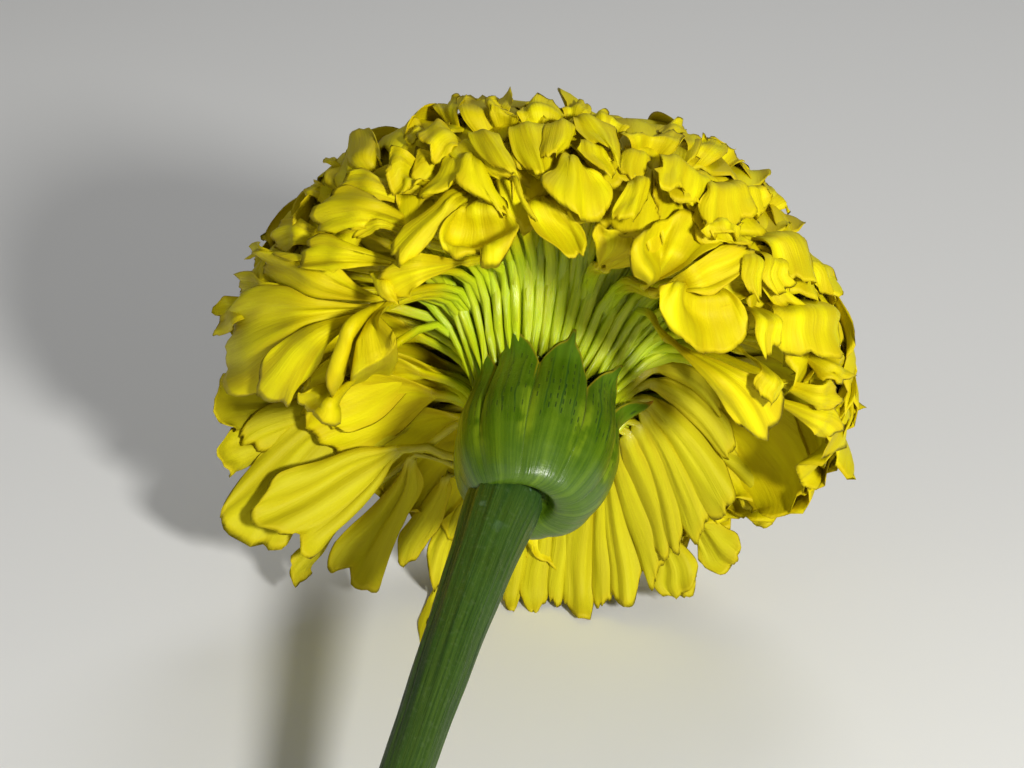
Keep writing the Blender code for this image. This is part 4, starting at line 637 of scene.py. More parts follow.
def curve_through(points, count):
    """A smooth curve through the points, as count points at even distances along it, and its length."""
    knots = np.asarray(points, float)
    ends = np.vstack((2 * knots[0] - knots[1], knots, 2 * knots[-1] - knots[-2]))
    share = np.linspace(0, 1, 24, endpoint=False)[:, None]
    stretches = []
    for before, start, end, after in zip(ends[:-3], ends[1:-2], ends[2:-1], ends[3:]):
        leave, arrive = (end - before) / 2, (after - start) / 2
        cubic = 2 * (start - end) + leave + arrive
        square = -3 * (start - end) - 2 * leave - arrive
        stretches.append(start + leave * share + square * share**2 + cubic * share**3)
    fine = np.vstack((*stretches, knots[-1:]))
    steps = np.linalg.norm(np.diff(fine, axis=0), axis=1)
    distance = np.concatenate(([0], np.cumsum(steps)))
    even = np.linspace(0, distance[-1], count)
    return np.stack([np.interp(even, distance, fine[:, axis]) for axis in range(fine.shape[1])], axis=1), distance[-1]


def unit(vectors):
    return vectors / np.maximum(np.linalg.norm(vectors, axis=-1, keepdims=True), 1e-9)


CLAW_WIDTH = 1.25
CLAW_THICKNESS = 1.1
BLADE_THICKNESS = 0.26
HEAD_GIVE = 1.7
UNDERSIDE_ARCH = 1.1


def margin_reach(across, phase, depth):
    """The share of a blade's length that its scalloped tip reaches, from edge to edge."""
    lobes = 0.5 + 0.5 * np.cos(across * 4.1 + phase) + 0.5 * np.abs(np.cos(across * 4.4 + 1.7 * phase))
    small = 0.13 * np.cos(across * 15 + 1.3 * phase) + 0.05 * np.cos(across * 37 + phase)
    return 1 - depth * (1.5 - lobes - small) / 1.5


class Sheet(NamedTuple):
    """A floret's middle surface: points by row and column, and each point's place on the floret."""

    points: np.ndarray
    claw: np.ndarray
    blade: np.ndarray
    across: np.ndarray
    along: np.ndarray
    green: np.ndarray
    tone: float
    phase: float


def add_folds(sheet, ruffle, waves, pleats, depth):
    """The sheet with soft folds from its foot, a ruffled and curling margin and a crease along its middle."""
    blade, across, phase = sheet.blade, sheet.across, sheet.phase
    width = np.linalg.norm(sheet.points[-1, -1] - sheet.points[-1, 0])
    small = min(1.0, max(0.15, width / 11))
    ruffle, depth = ruffle * small, depth * small
    normal = unit(np.cross(np.gradient(sheet.points, axis=1), np.gradient(sheet.points, axis=0)))
    wave = ruffle * blade**1.4 * np.sin(across * math.pi * waves + phase)
    margin = 0.62 * ruffle * blade**4 * np.sin(across * math.pi * (waves + 1.7) + 2.2 * phase)
    crimp = 0.2 * ruffle * blade**9 * np.sin(across * math.pi * 7.3 + 3.1 * phase)
    frill = 0.5 * ruffle * blade * across**4 * np.sin(blade * 9 + phase * 1.7 + 3 * np.sign(across))
    curl = 1.1 * ruffle * smoothstep(0.72, 1.02, blade) ** 2 * np.sin(across * 1.9 + 1.3 * phase)
    pleat = depth * np.sqrt(blade) * (1 - blade**3 * 0.5) * np.cos(across * math.pi * pleats + phase)
    fine = 0.3 * depth * blade * (1 - blade**4) * np.cos(across * math.pi * pleats * 2.3 + 1.9 * phase + blade * 2)
    middle = across - 0.25 * math.sin(phase * 2.7)
    crease = -2.2 * depth * np.exp(-np.abs(middle) / 0.09) * blade * (1 - 0.75 * blade)
    lift = (wave + margin + crimp + frill + curl + pleat + fine + crease) * (1 - sheet.claw)
    return sheet._replace(points=sheet.points + normal * lift[..., None])


def eased(value, limit):
    """The value, held back softly where it comes near the limit."""
    over = np.maximum(np.abs(value) - limit, 0)
    return np.sign(value) * (np.minimum(np.abs(value), limit) + HEAD_GIVE * np.tanh(over / HEAD_GIVE))


def kept_in_head(vertices):
    """Floret vertices held inside the head's own width, depth and height, and above the surface it lies on."""
    x, y, z = vertices.T
    return np.stack((eased(x, 42.9), eased(y, 79.2), np.maximum(eased(z, 80.9), SURFACE_GAP)), axis=1)


def sheet_solid(sheet):
    """Vertices and faces of the closed floret round its middle surface, with the values its material reads."""
    points, blade, across = sheet.points, sheet.blade, sheet.across
    rows, columns = blade.shape
    normal = unit(np.cross(np.gradient(points, axis=1), np.gradient(points, axis=0)))
    body = BLADE_THICKNESS + (CLAW_THICKNESS - BLADE_THICKNESS) * sheet.claw
    inner = sheet.claw * np.sqrt(np.clip(1 - across**2, 0, 1)) + (1 - sheet.claw) * (1 - across**8)
    half = (body * inner * (1 - blade**24) / 2)[..., None]
    upper, lower = points + normal * half, points - normal * half
    top = upper.copy()
    for rim in (np.s_[0], np.s_[-1], np.s_[:, 0], np.s_[:, -1]):
        top[rim] = points[rim]
    grid = np.arange(rows * columns).reshape(rows, columns)
    under = grid.copy()
    under[1:-1, 1:-1] = rows * columns + np.arange((rows - 2) * (columns - 2)).reshape(rows - 2, columns - 2)
    vertices = kept_in_head(np.vstack((top.reshape(-1, 3), lower[1:-1, 1:-1].reshape(-1, 3))))
    quads = np.stack((grid[:-1, :-1], grid[:-1, 1:], grid[1:, 1:], grid[1:, :-1]), axis=-1).reshape(-1, 4)
    backs = np.stack((under[:-1, :-1], under[1:, :-1], under[1:, 1:], under[:-1, 1:]), axis=-1).reshape(-1, 4)
    row_step = np.linalg.norm(np.diff(points, axis=0), axis=-1)
    to_tip = np.vstack((np.cumsum(row_step[::-1], axis=0)[::-1], np.zeros((1, columns))))
    column_step = np.linalg.norm(np.diff(points, axis=1), axis=-1)
    from_side = np.hstack((np.zeros((rows, 1)), np.cumsum(column_step, axis=1)))
    to_edge = np.minimum(np.minimum(from_side, from_side[:, -1:] - from_side), to_tip) + 2 * sheet.claw
    values = {
        "claw": sheet.claw, "blade": blade, "across": across + 0 * blade, "along": sheet.along, "green": sheet.green,
        "edge": to_edge, "tone": np.full(blade.shape, sheet.tone),
    }
    values = {key: np.concatenate((value.ravel(), value[1:-1, 1:-1].ravel())) for key, value in values.items()}
    return vertices, np.vstack((quads, backs)), values


def across_columns(columns):
    return np.sin(np.linspace(-1, 1, columns) * 1.4)[None, :] / math.sin(1.4)


def traced_sheet(traced, rows, columns, draw):
    """The middle surface of a traced floret, lofted across its ribs."""
    stalk = np.array([from_head(math.radians(turn), radius, height) for turn, radius, height in traced.stalk])
    ribs = [np.array([from_head(math.radians(t), r, h) for t, r, h in rib]) for rib in traced.ribs]
    stalk_length = curve_through(stalk, 40)[1]
    curves, lengths = [], []
    for rib in ribs:
        curve, length = curve_through(np.vstack((stalk, rib)), 160)
        curves.append(curve)
        lengths.append(length)
    claw_share = np.array([min(0.85, stalk_length / length) for length in lengths])
    claw_rows = max(5, rows // 4)
    knots = np.linspace(-1, 1, len(ribs))
    across = across_columns(columns)
    phase = draw.uniform(0, 2 * math.pi)
    reach = margin_reach(across, phase, 0.08) * (1 - 0.16 * np.abs(across) ** 5)
    blade = np.concatenate((np.zeros(claw_rows), np.linspace(0, 1, rows - claw_rows)))[:, None] + 0 * across
    claw_part = np.concatenate((np.linspace(0, 1, claw_rows, endpoint=False), np.ones(rows - claw_rows)))[:, None]
    by_rib = []
    for curve, share in zip(curves, claw_share):
        place = claw_part * share + blade * reach * (1 - share)
        at = place * (len(curve) - 1)
        index = np.clip(at.astype(int), 0, len(curve) - 2)
        part = (at - index)[..., None]
        by_rib.append(curve[index] * (1 - part) + curve[index + 1] * part)
    by_rib = np.array(by_rib)
    padded = np.concatenate((2 * by_rib[:1] - by_rib[1:2], by_rib, 2 * by_rib[-1:] - by_rib[-2:-1]))
    at = (across[0] + 1) / 2 * (len(ribs) - 1)
    index = np.clip(at.astype(int), 0, len(ribs) - 2)
    part = (at - index)[None, :, None]
    column = np.arange(columns)
    before, start, end, after = (padded[index + step][np.arange(columns), :, column].transpose(1, 0, 2) for step in range(4))
    leave, arrive = (end - before) / 2, (after - start) / 2
    points = (
        start + leave * part + (-3 * (start - end) - 2 * leave - arrive) * part**2
        + (2 * (start - end) + leave + arrive) * part**3
    )
    middle = points[:, columns // 2]
    tangent = unit(np.gradient(middle, axis=0))
    spread = unit(points[-1, -1] - points[-1, 0])
    side = unit(spread - (tangent @ spread)[:, None] * tangent)
    claw = 1 - smoothstep(0, 0.16, blade)
    points = points + side[:, None, :] * (across * claw * draw.uniform(0.8, 1.2) * CLAW_WIDTH / 2)[..., None]
    if not traced.hanging:
        points = points - HEAD_AXIS * (UNDERSIDE_ARCH * np.sqrt(blade) * (1 - across**2) * (1 - claw))[..., None]
    along = claw_part * stalk_length + blade * (np.mean(lengths) - stalk_length)
    green = 1 - (smoothstep(13, 22, along) if traced.hanging else smoothstep(4, 13, along))
    tone = draw.random() + (0 if traced.hanging else 1)
    return Sheet(points, claw, blade, across, along, green, tone, phase)


FELLOW_SEED = 23
FELLOW_FROM = -8.5
FELLOW_TURN = 62


def fellow(traced, draw):
    """A floret of the next layer in, wider than the traced one and a little to one side, that shows beside it."""
    turn_by = draw.choice((-1, 1)) * draw.uniform(2.0, 4.5)
    sink, spread = draw.uniform(0.05, 0.075), draw.uniform(1.25, 1.5)
    middle = sum(point[0] for rib in traced.ribs for point in rib) / sum(len(rib) for rib in traced.ribs)

    def moved(points, share):
        return tuple(
            (middle + (turn - middle) * (1 + (spread - 1) * share) + turn_by * share, r + (14 - r) * sink * share, h + (12 - h) * sink * share)
            for turn, r, h in points
        )

    stalk = tuple(moved((point,), index / len(traced.stalk))[0] for index, point in enumerate(traced.stalk))
    return traced._replace(stalk=stalk, ribs=tuple(moved(rib, 1.0) for rib in traced.ribs))


class Growth(NamedTuple):
    """A ring of florets, each pair (radius, height), as it stands on the flower's top side and on its lower side."""

    count: int
    width: float
    top: tuple
    low: tuple


GROWTHS = (
    Growth(24, 12, ((8.4, 1), (10.2, 4.8), (13.2, 8.6), (17.8, 11.8), (24.4, 13.8), (31.6, 12.4), (37.2, 7), (39.2, 0), (36.8, -7.5)),
           ((8.0, 0), (9.4, 2.6), (12, 4.8), (16, 6.6), (22, 8.0), (29, 7.0), (34.5, 4.6), (38, 2.4), (39.5, 0))),
    Growth(24, 13, ((7.8, 1), (9.4, 5.8), (12.4, 10.6), (17.2, 14.6), (24.6, 17.2), (32.2, 16.2), (38.2, 11), (40.6, 4), (39.4, -3)),
           ((7.4, 0), (8.8, 3.6), (11.6, 7), (15.6, 9.4), (22, 11.4), (30, 10.8), (36, 8.2), (39.5, 5.4), (41, 3))),
    Growth(21, 14, ((7.2, 1), (8.2, 7), (10.2, 12.6), (14.6, 17.2), (23, 21), (31.4, 20.4), (37.6, 15.4), (40.4, 8.6), (40.4, 2)),
           ((6.8, 0), (8, 5), (10.4, 10), (15, 14), (23, 17.6), (31, 17.4), (37.4, 14.4), (40.6, 10), (41.2, 6))),
    Growth(18, 14, ((6.4, 1), (7.2, 8), (9.2, 14), (13.6, 18.8), (21, 24.4), (28.8, 25), (35, 20.4), (38.4, 14.4), (39.2, 9)),
           ((6.2, 1), (7, 7), (9, 13), (13.4, 18.2), (21, 23.8), (28.8, 24.4), (35, 20.4), (38.6, 15), (39.6, 10))),
    Growth(16, 13.5, ((5.4, 1), (6, 9), (7.8, 15.6), (11.6, 21), (18, 27), (25, 28.4), (31, 24.8), (34.6, 20), (35.8, 15.6)),
           ((5.4, 1), (6, 9), (7.8, 15.6), (11.6, 21), (18, 27), (25, 28.4), (31, 24.8), (34.6, 20), (35.8, 15.6))),
    Growth(13, 13, ((4, 1), (4.6, 10), (5.8, 17), (8.4, 22.6), (13, 29.2), (19.4, 31.2), (25.6, 28.6), (29.2, 24.6), (30.6, 21)),
           ((4, 1), (4.6, 10), (5.8, 17), (8.4, 22.6), (13, 29.2), (19.4, 31.2), (25.6, 28.6), (29.2, 24.6), (30.6, 21))),
    Growth(9, 12, ((2.6, 1), (3, 10), (3.8, 18), (5.2, 24), (8, 30.4), (12.6, 33), (17.4, 32), (20.6, 29.6), (22, 27)),
           ((2.6, 1), (3, 10), (3.8, 18), (5.2, 24), (8, 30.4), (12.6, 33), (17.4, 32), (20.6, 29.6), (22, 27))),
    Growth(5, 9, ((1, 1), (1.2, 10), (1.6, 18), (2.2, 24), (3, 29.6), (5, 33.2), (8, 34), (10.4, 33), (12, 31.6)),
           ((1, 1), (1.2, 10), (1.6, 18), (2.2, 24), (3, 29.6), (5, 33.2), (8, 34), (10.4, 33), (12, 31.6))),
    Growth(4, 8, ((0.6, 1), (0.7, 10), (0.8, 18), (0.9, 24), (1.0, 29), (1.4, 32), (2.6, 33.8), (4.4, 34.2), (6, 33.6)),
           ((0.6, 1), (0.7, 10), (0.8, 18), (0.9, 24), (1.0, 29), (1.4, 32), (2.6, 33.8), (4.4, 34.2), (6, 33.6))),
)
CLAW_POINTS = 4
LAYERS_PER_GROWTH = 2
FLORET_SEED = 11


def growth_at(place):
    """The ring at a place between two of the listed ones."""
    first = GROWTHS[min(int(place), len(GROWTHS) - 1)]
    second = GROWTHS[min(int(place) + 1, len(GROWTHS) - 1)]
    share = place - int(place)
    count, width, top, low = (np.asarray(a, float) * (1 - share) + np.asarray(b, float) * share for a, b in zip(first, second))
    return int(round(float(count))), float(width), top, low


def grown_sheet(place, turn, draw, rows, columns):
    """The middle surface of a floret that follows the even, ball-shaped growth."""
    count, width, top, low = growth_at(place)
    degrees = (math.degrees(turn) + 180) % 360 - 180
    hang = 1 - float(smoothstep(95, 135, degrees) if degrees > 0 else smoothstep(74, 100, -degrees))
    path = top * hang + low * (1 - hang)
    turned_under = abs((math.degrees(turn) + 340) % 360 - 180)
    traced = (1 - float(smoothstep(168, 176, turned_under))) * (1 - float(smoothstep(1.8, 4.2, place)))
    free = np.linspace(0, 1, len(path))[:, None] ** 1.5
    path = path + free * np.array((draw.uniform(-1.8, 0.5), draw.uniform(-1.6, 1.2)))
    inset = np.array((-5.5 + 5.8 * hang, 4.0 * (1 - hang) - 0.4 * place)) * traced
    path = path + free * inset
    past_foot = np.minimum(np.arange(len(path)) / 2.5, 1)[:, None]
    path = path + np.array((-2.6, 1.2)) * traced * hang * past_foot * (1 - free)
    sway = draw.uniform(-3, 3) * free[: len(path)] ** 1.3
    spine, length = curve_through(np.hstack((path, sway)), 160)
    claw_length = curve_through(path[:CLAW_POINTS], 20)[1] * (draw.uniform(1.0, 1.3) + 0.35 * hang)
    share = claw_length / length
    across = across_columns(columns)
    phase = draw.uniform(0, 2 * math.pi)
    reach = margin_reach(across, phase, 0.09) * (1 - 0.17 * np.abs(across) ** 2.8)
    claw_rows = max(5, rows // 4)
    blade = np.concatenate((np.zeros(claw_rows), np.linspace(0, 1, rows - claw_rows)))[:, None] + 0 * across
    claw_part = np.concatenate((np.linspace(0, 1, claw_rows, endpoint=False), np.ones(rows - claw_rows)))[:, None]
    at = (claw_part * share + blade * reach * (1 - share)) * (len(spine) - 1)
    index = np.clip(at.astype(int), 0, len(spine) - 2)
    part = (at - index)[..., None]
    centre = spine[index] * (1 - part) + spine[index + 1] * part
    slope = unit(np.gradient(spine, axis=0))[index]
    outward = math.cos(turn) * HEAD_TOP + math.sin(turn) * HEAD_RIGHT
    sideways = math.cos(turn) * HEAD_RIGHT - math.sin(turn) * HEAD_TOP
    basis = np.stack((outward, HEAD_AXIS, sideways))
    middle = RIM_CENTRE + centre @ basis
    tangent = slope @ basis
    side = unit(sideways - (tangent @ sideways)[..., None] * tangent)
    back = np.cross(side, tangent)
    twist = (draw.uniform(-0.25, 0.25) * blade**1.2)[..., None]
    side, back = side * np.cos(twist) + back * np.sin(twist), back * np.cos(twist) - side * np.sin(twist)
    opening = np.sin(np.clip(blade / 0.75, 0, 1) * math.pi / 2) ** 1.35
    width = width * (draw.uniform(0.95, 1.25) + 0.15 * traced * hang)
    half_width = (CLAW_WIDTH + (width - CLAW_WIDTH) * opening) * (1 - 0.12 * blade**7) / 2
    roll = draw.uniform(-0.45, 0.7) * blade
    roll = np.where(np.abs(roll) < 0.02, 0.02, roll)
    x = half_width * np.sin(roll * across) / roll
    z = half_width * (1 - np.cos(roll * across)) / roll
    points = middle + side * x[..., None] + back * z[..., None]
    claw = 1 - smoothstep(0, 0.2, blade)
    along = (claw_part * share + blade * (1 - share)) * length
    green = 1 - smoothstep(5 + 8 * hang, 13 + 9 * hang, along - 4 * min(place, 2.0))
    sheet = Sheet(points, claw, blade, across, along, green, draw.random(), phase)
    return add_folds(sheet, draw.uniform(0.6, 1.2), draw.uniform(0.8, 1.5), draw.uniform(1.6, 3.0), 0.2)


def mesh_object(name, vertices, faces, values, material, triangles=()):
    """One closed piece. Its surface values are stored as attributes that its material reads."""
    mesh = bpy.data.meshes.new(name)
    mesh.vertices.add(len(vertices))
    mesh.vertices.foreach_set("co", (np.asarray(vertices) * MM).astype(np.float32).ravel())
    triangles = np.asarray(triangles, np.int32).reshape(-1, 3)
    corners = np.concatenate((np.asarray(faces, np.int32).ravel(), triangles.ravel()))
    starts = np.concatenate((np.arange(len(faces)) * 4, len(faces) * 4 + np.arange(len(triangles)) * 3))
    mesh.loops.add(len(corners))
    mesh.loops.foreach_set("vertex_index", corners)
    mesh.polygons.add(len(starts))
    mesh.polygons.foreach_set("loop_start", starts.astype(np.int32))
    mesh.update(calc_edges=True)
    for key, value in values.items():
        layer = mesh.attributes.new(key, "FLOAT", "POINT")
        layer.data.foreach_set("value", value.astype(np.float32))
    mesh.validate()
    mesh.shade_smooth()
    mesh.materials.append(material)
    obj = bpy.data.objects.new(name, mesh)
    bpy.context.scene.collection.objects.link(obj)
    return obj


def florets_object(name, sheets, material):
    parts = [sheet_solid(sheet) for sheet in sheets]
    starts = np.cumsum([0] + [len(part[0]) for part in parts[:-1]])
    vertices = np.vstack([part[0] for part in parts])
    faces = np.vstack([part[1] + start for part, start in zip(parts, starts)])
    values = {key: np.concatenate([part[2][key] for part in parts]) for key in parts[0][2]}
    piece = mesh_object(name, vertices, faces, values, material)
    print(name, len(parts), "florets", len(faces) * 2, "triangles")
    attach(piece, "root")
    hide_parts("ray_florets")
    return piece


def traced_florets():
    """The florets seen in the photo, and the fellows that stand beneath those on the outside."""
    draw, beside = random.Random(FLORET_SEED), random.Random(FELLOW_SEED)
    pieces = {"florets_hanging": [], "florets_underside": [], "florets_between": []}
    for floret in TRACED:
        sheet = traced_sheet(floret, 30, 9 + 4 * len(floret.ribs), draw)
        depth = 0.15 if floret.hanging else 0.34
        sheet = add_folds(sheet, 0.35 + 1.3 * floret.ruffle, draw.uniform(0.8, 1.4), draw.uniform(1.8, 3.2), depth)
        pieces["florets_hanging" if floret.hanging else "florets_underside"].append(sheet)
        tips = [rib[-1] for rib in floret.ribs]
        if floret.hanging and min(height for _, _, height in tips) > FELLOW_FROM and abs(tips[0][0]) < FELLOW_TURN:
            sheet = traced_sheet(fellow(floret, beside), 24, 15, beside)
            sheet = add_folds(sheet, beside.uniform(0.6, 1.1), beside.uniform(0.8, 1.4), beside.uniform(1.8, 3.2), 0.15)
            pieces["florets_between"].append(sheet)
    return pieces


class Ring(NamedTuple):
    """A stretch of the growth rings that makes one piece, and how finely its florets are drawn."""

    piece: str
    until: float
    rows: int
    columns: int


RINGS = (
    Ring("florets_skirt", 1.2, 31, 19), Ring("florets_flank", 2.7, 29, 17),
    Ring("florets_shoulder", 4.2, 28, 17), Ring("florets_crown", 99, 26, 15),
)


def grown_florets():
    """The florets the photo doesn't show one by one, ring after ring up to the crown."""
    draw = random.Random(FLORET_SEED + 1)
    pieces = {ring.piece: [] for ring in RINGS}
    start = 0.0
    for layer in range((len(GROWTHS) - 1) * LAYERS_PER_GROWTH + 1):
        place = layer / LAYERS_PER_GROWTH
        count = growth_at(place)[0]
        start += math.pi / count + draw.uniform(-0.1, 0.1)
        ring = next(ring for ring in RINGS if place < ring.until)
        for index in range(count):
            turn = (start + 2 * math.pi * index / count + draw.uniform(-0.06, 0.06)) % (2 * math.pi)
            pieces[ring.piece].append(grown_sheet(place, turn, draw, ring.rows, ring.columns))
    return pieces


def add_florets(material):
    for name, sheets in {**traced_florets(), **grown_florets()}.items():
        florets_object(name, sheets, material)


class CupLeaf(NamedTuple):
    """One of the grown-together leaves of the cup: its turn, its tooth's length, the notch's depth beside it."""

    turn: float
    length: float
    lean: float
    notch: float


CUP_PROFILE = (
    (0, 1.2), (2.6, 1.15), (3.7, 0.9), (4.2, 0.3), (5.0, -0.1), (6.1, 0.0), (7.4, 0.8), (8.6, 2.2), (9.5, 4.2),
    (10.1, 6.8), (10.35, 9.6), (10.15, 12), (9.8, 14.6), (9.5, 17), (9.6, 19.5), (10.0, 22), (10.6, 24.5),
)
CUP_LEAVES = (
    CupLeaf(20, 5.0, 0.6, -1.0), CupLeaf(62, 4.6, 0.8, -3.0), CupLeaf(103, 7.2, 2.6, -2.0), CupLeaf(143, 5.4, 0.6, -0.4),
    CupLeaf(182, 5.8, 0.2, -0.8), CupLeaf(221, 5.5, 0.4, -1.4), CupLeaf(260, 6.0, 0.8, 0.2), CupLeaf(300, 6.6, 1.0, -0.4),
    CupLeaf(338, 5.6, 0.5, 0.2),
)
CUP_SHIFT = np.array((1.0, 0, 0))
BASE_SHOULDER = 2.3
CUP_COLUMNS = 26
CUP_ROWS = 84
CUP_WALL = 0.8
TEETH_FROM = 13.5


def cup_leaf_columns():
    """For every column round the cup: the turn, the place across its leaf from -1 to 1, and the rim's height there."""
    turns, across, rims, leans, tones = [], [], [], [], []
    count = len(CUP_LEAVES)
    for index, leaf in enumerate(CUP_LEAVES):
        before, after = CUP_LEAVES[index - 1], CUP_LEAVES[(index + 1) % count]
        seam_before = (leaf.turn + before.turn - (360 if before.turn > leaf.turn else 0)) / 2
        seam_after = (leaf.turn + after.turn + (360 if after.turn < leaf.turn else 0)) / 2
        for step in range(CUP_COLUMNS):
            place = -1 + 2 * (step + 0.5) / CUP_COLUMNS
            place = math.copysign(1 - (1 - abs(place)) ** 1.15, place)
            seam = seam_before if place < 0 else seam_after
            notch = leaf.notch if place < 0 else after.notch
            rise = (1 - abs(place) ** 1.9) ** 1.0 * (1 - 0.12 * abs(place))
            tip = max(0.0, 1 - abs(place) / 0.16) ** 1.6
            turns.append(math.radians(leaf.turn + abs(place) * (seam - leaf.turn)))
            across.append(place)
            rims.append(CUP_LENGTH + notch + rise * (leaf.length - notch - 1.7) + tip * 1.9)
            leans.append(leaf.lean * rise + 0.9 * tip)
            tones.append(index / count)
    return (np.array(values) for values in (turns, across, rims, leans, tones))


def cup_surface(wall):
    """Points of the cup's outer side, or of its inner side when the wall is set in, with the leaves' own bulge."""
    turns, across, rims, leans, tones = cup_leaf_columns()
    profile, length = curve_through(CUP_PROFILE, 400)
    heights = profile[:, 1]
    widest = int(np.argmin(heights[60:130])) + 60
    up = np.linspace(0, 1, CUP_ROWS)[:, None]
    share = smoothstep(0, 1, up * 0.98 + 0.01) * 0.35 + up * 0.65
    teeth_at = np.interp(TEETH_FROM, heights[widest:], np.arange(widest, 400))
    rims_at = np.interp(rims, heights[widest:], np.arange(widest, 400))
    body = np.clip(share / 0.72, 0, 1)
    teeth = np.clip((share - 0.72) / 0.28, 0, 1)
    at = np.clip(body * teeth_at + teeth * (rims_at[None, :] - teeth_at), 0, 398.999)
    index = at.astype(int)
    part = at - index
    radius = profile[index, 0] * (1 - part) + profile[index + 1, 0] * part
    height = profile[index, 1] * (1 - part) + profile[index + 1, 1] * part
    strong = smoothstep(3, 12, height) * smoothstep(5, 9, radius)
    bulge = 0.42 * (1 - np.abs(across) ** 2.2) - 0.62 * np.abs(across) ** 6 * strong
    keel = 0.12 * np.exp(-((across / 0.08) ** 2)) * smoothstep(11, 19, height)
    overlap = 0.22 * smoothstep(0.55, 1.0, across) * strong
    lean = leans * smoothstep(15, 23.5, height) ** 1.5
    veins = 0.05 * np.cos(across * 14 + tones * 40) * strong
    radius = radius + (bulge + overlap + veins) * smoothstep(3.5, 8, radius) + keel + lean
    thin = wall * (0.35 + 0.65 * (1 - smoothstep(15, 23, height)))
    radius = np.maximum(radius - thin, 0)
    height = height + np.where(thin > 0, 1.1 * (1 - smoothstep(0, 6, height)), 0) * (1 if wall else 0)
    facing_up = (0.5 + 0.5 * np.cos(turns)) ** 1.3
    shoulder = smoothstep(3.6, 5.2, radius) * (1 - smoothstep(6.2, 10.2, radius)) * (1 - smoothstep(2, 9, height))
    height = height - BASE_SHOULDER * facing_up * shoulder
    points = from_head(turns + 0 * height, radius, height - CUP_LENGTH) + CUP_SHIFT * smoothstep(4.5, 7, radius)[..., None]
    to_rim = (rims[None, :] - height) * 0.75
    return points, across + 0 * height, height, to_rim, tones + 0 * height


def add_involucre(material):
    outer, across, height, to_rim, tones = cup_surface(0)
    inner = cup_surface(CUP_WALL)[0]
    rows, columns = across.shape
    inner[-1] = outer[-1]
    layers = np.vstack((outer[1:], inner[1:-1][::-1]))
    count = len(layers)
    foot = RIM_CENTRE + (1.2 - CUP_LENGTH) * HEAD_AXIS
    floor = RIM_CENTRE + (2.3 - CUP_LENGTH) * HEAD_AXIS
    vertices = np.vstack((layers.reshape(-1, 3), foot[None], floor[None]))
    grid = np.arange(count * columns).reshape(count, columns)
    beside = np.roll(grid, -1, axis=1)
    quads = np.stack((grid[:-1], grid[1:], beside[1:], beside[:-1]), axis=-1).reshape(-1, 4)
    low = np.stack((grid[0], beside[0], np.full(columns, count * columns)), axis=-1)
    high = np.stack((grid[-1], np.full(columns, count * columns + 1), beside[-1]), axis=-1)
    values = {}
    for key, value in {"across": across, "height": height, "rim": to_rim, "tone": tones}.items():
        both = np.vstack((value[1:], value[1:-1][::-1])).ravel()
        values[key] = np.concatenate((both, [0, 0]))
    values["inside"] = np.concatenate((np.zeros((rows - 1) * columns), np.ones((rows - 2) * columns), [0, 1]))
    cup = mesh_object("involucre_fine", vertices, quads, values, material, np.vstack((low, high)))
    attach(cup, "root")
    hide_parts("involucre")


STEM_AROUND = 120
STEM_STATIONS = 150
STEM_CROOK = 14.0
STEM_SHIFT = np.array((-1.5, 0, 0))


def stem_middle(share):
    """The stem's middle line, from the cut end at 0 to just inside the cup's dimple at 1, in millimetres."""
    joint = HEAD_JOINT + HEAD_AXIS * 0.75 + STEM_SHIFT
    run = joint - STEM_CUT_END
    controls = (STEM_CUT_END, STEM_CUT_END + run / 3 + STEM_SHIFT * 0.4, joint - HEAD_AXIS * STEM_CROOK + STEM_SHIFT * 1.4, joint)
    weights = ((1 - share) ** 3, 3 * share * (1 - share) ** 2, 3 * share**2 * (1 - share), share**3)
    return sum(np.asarray(weight)[:, None] * control for control, weight in zip(controls, weights))


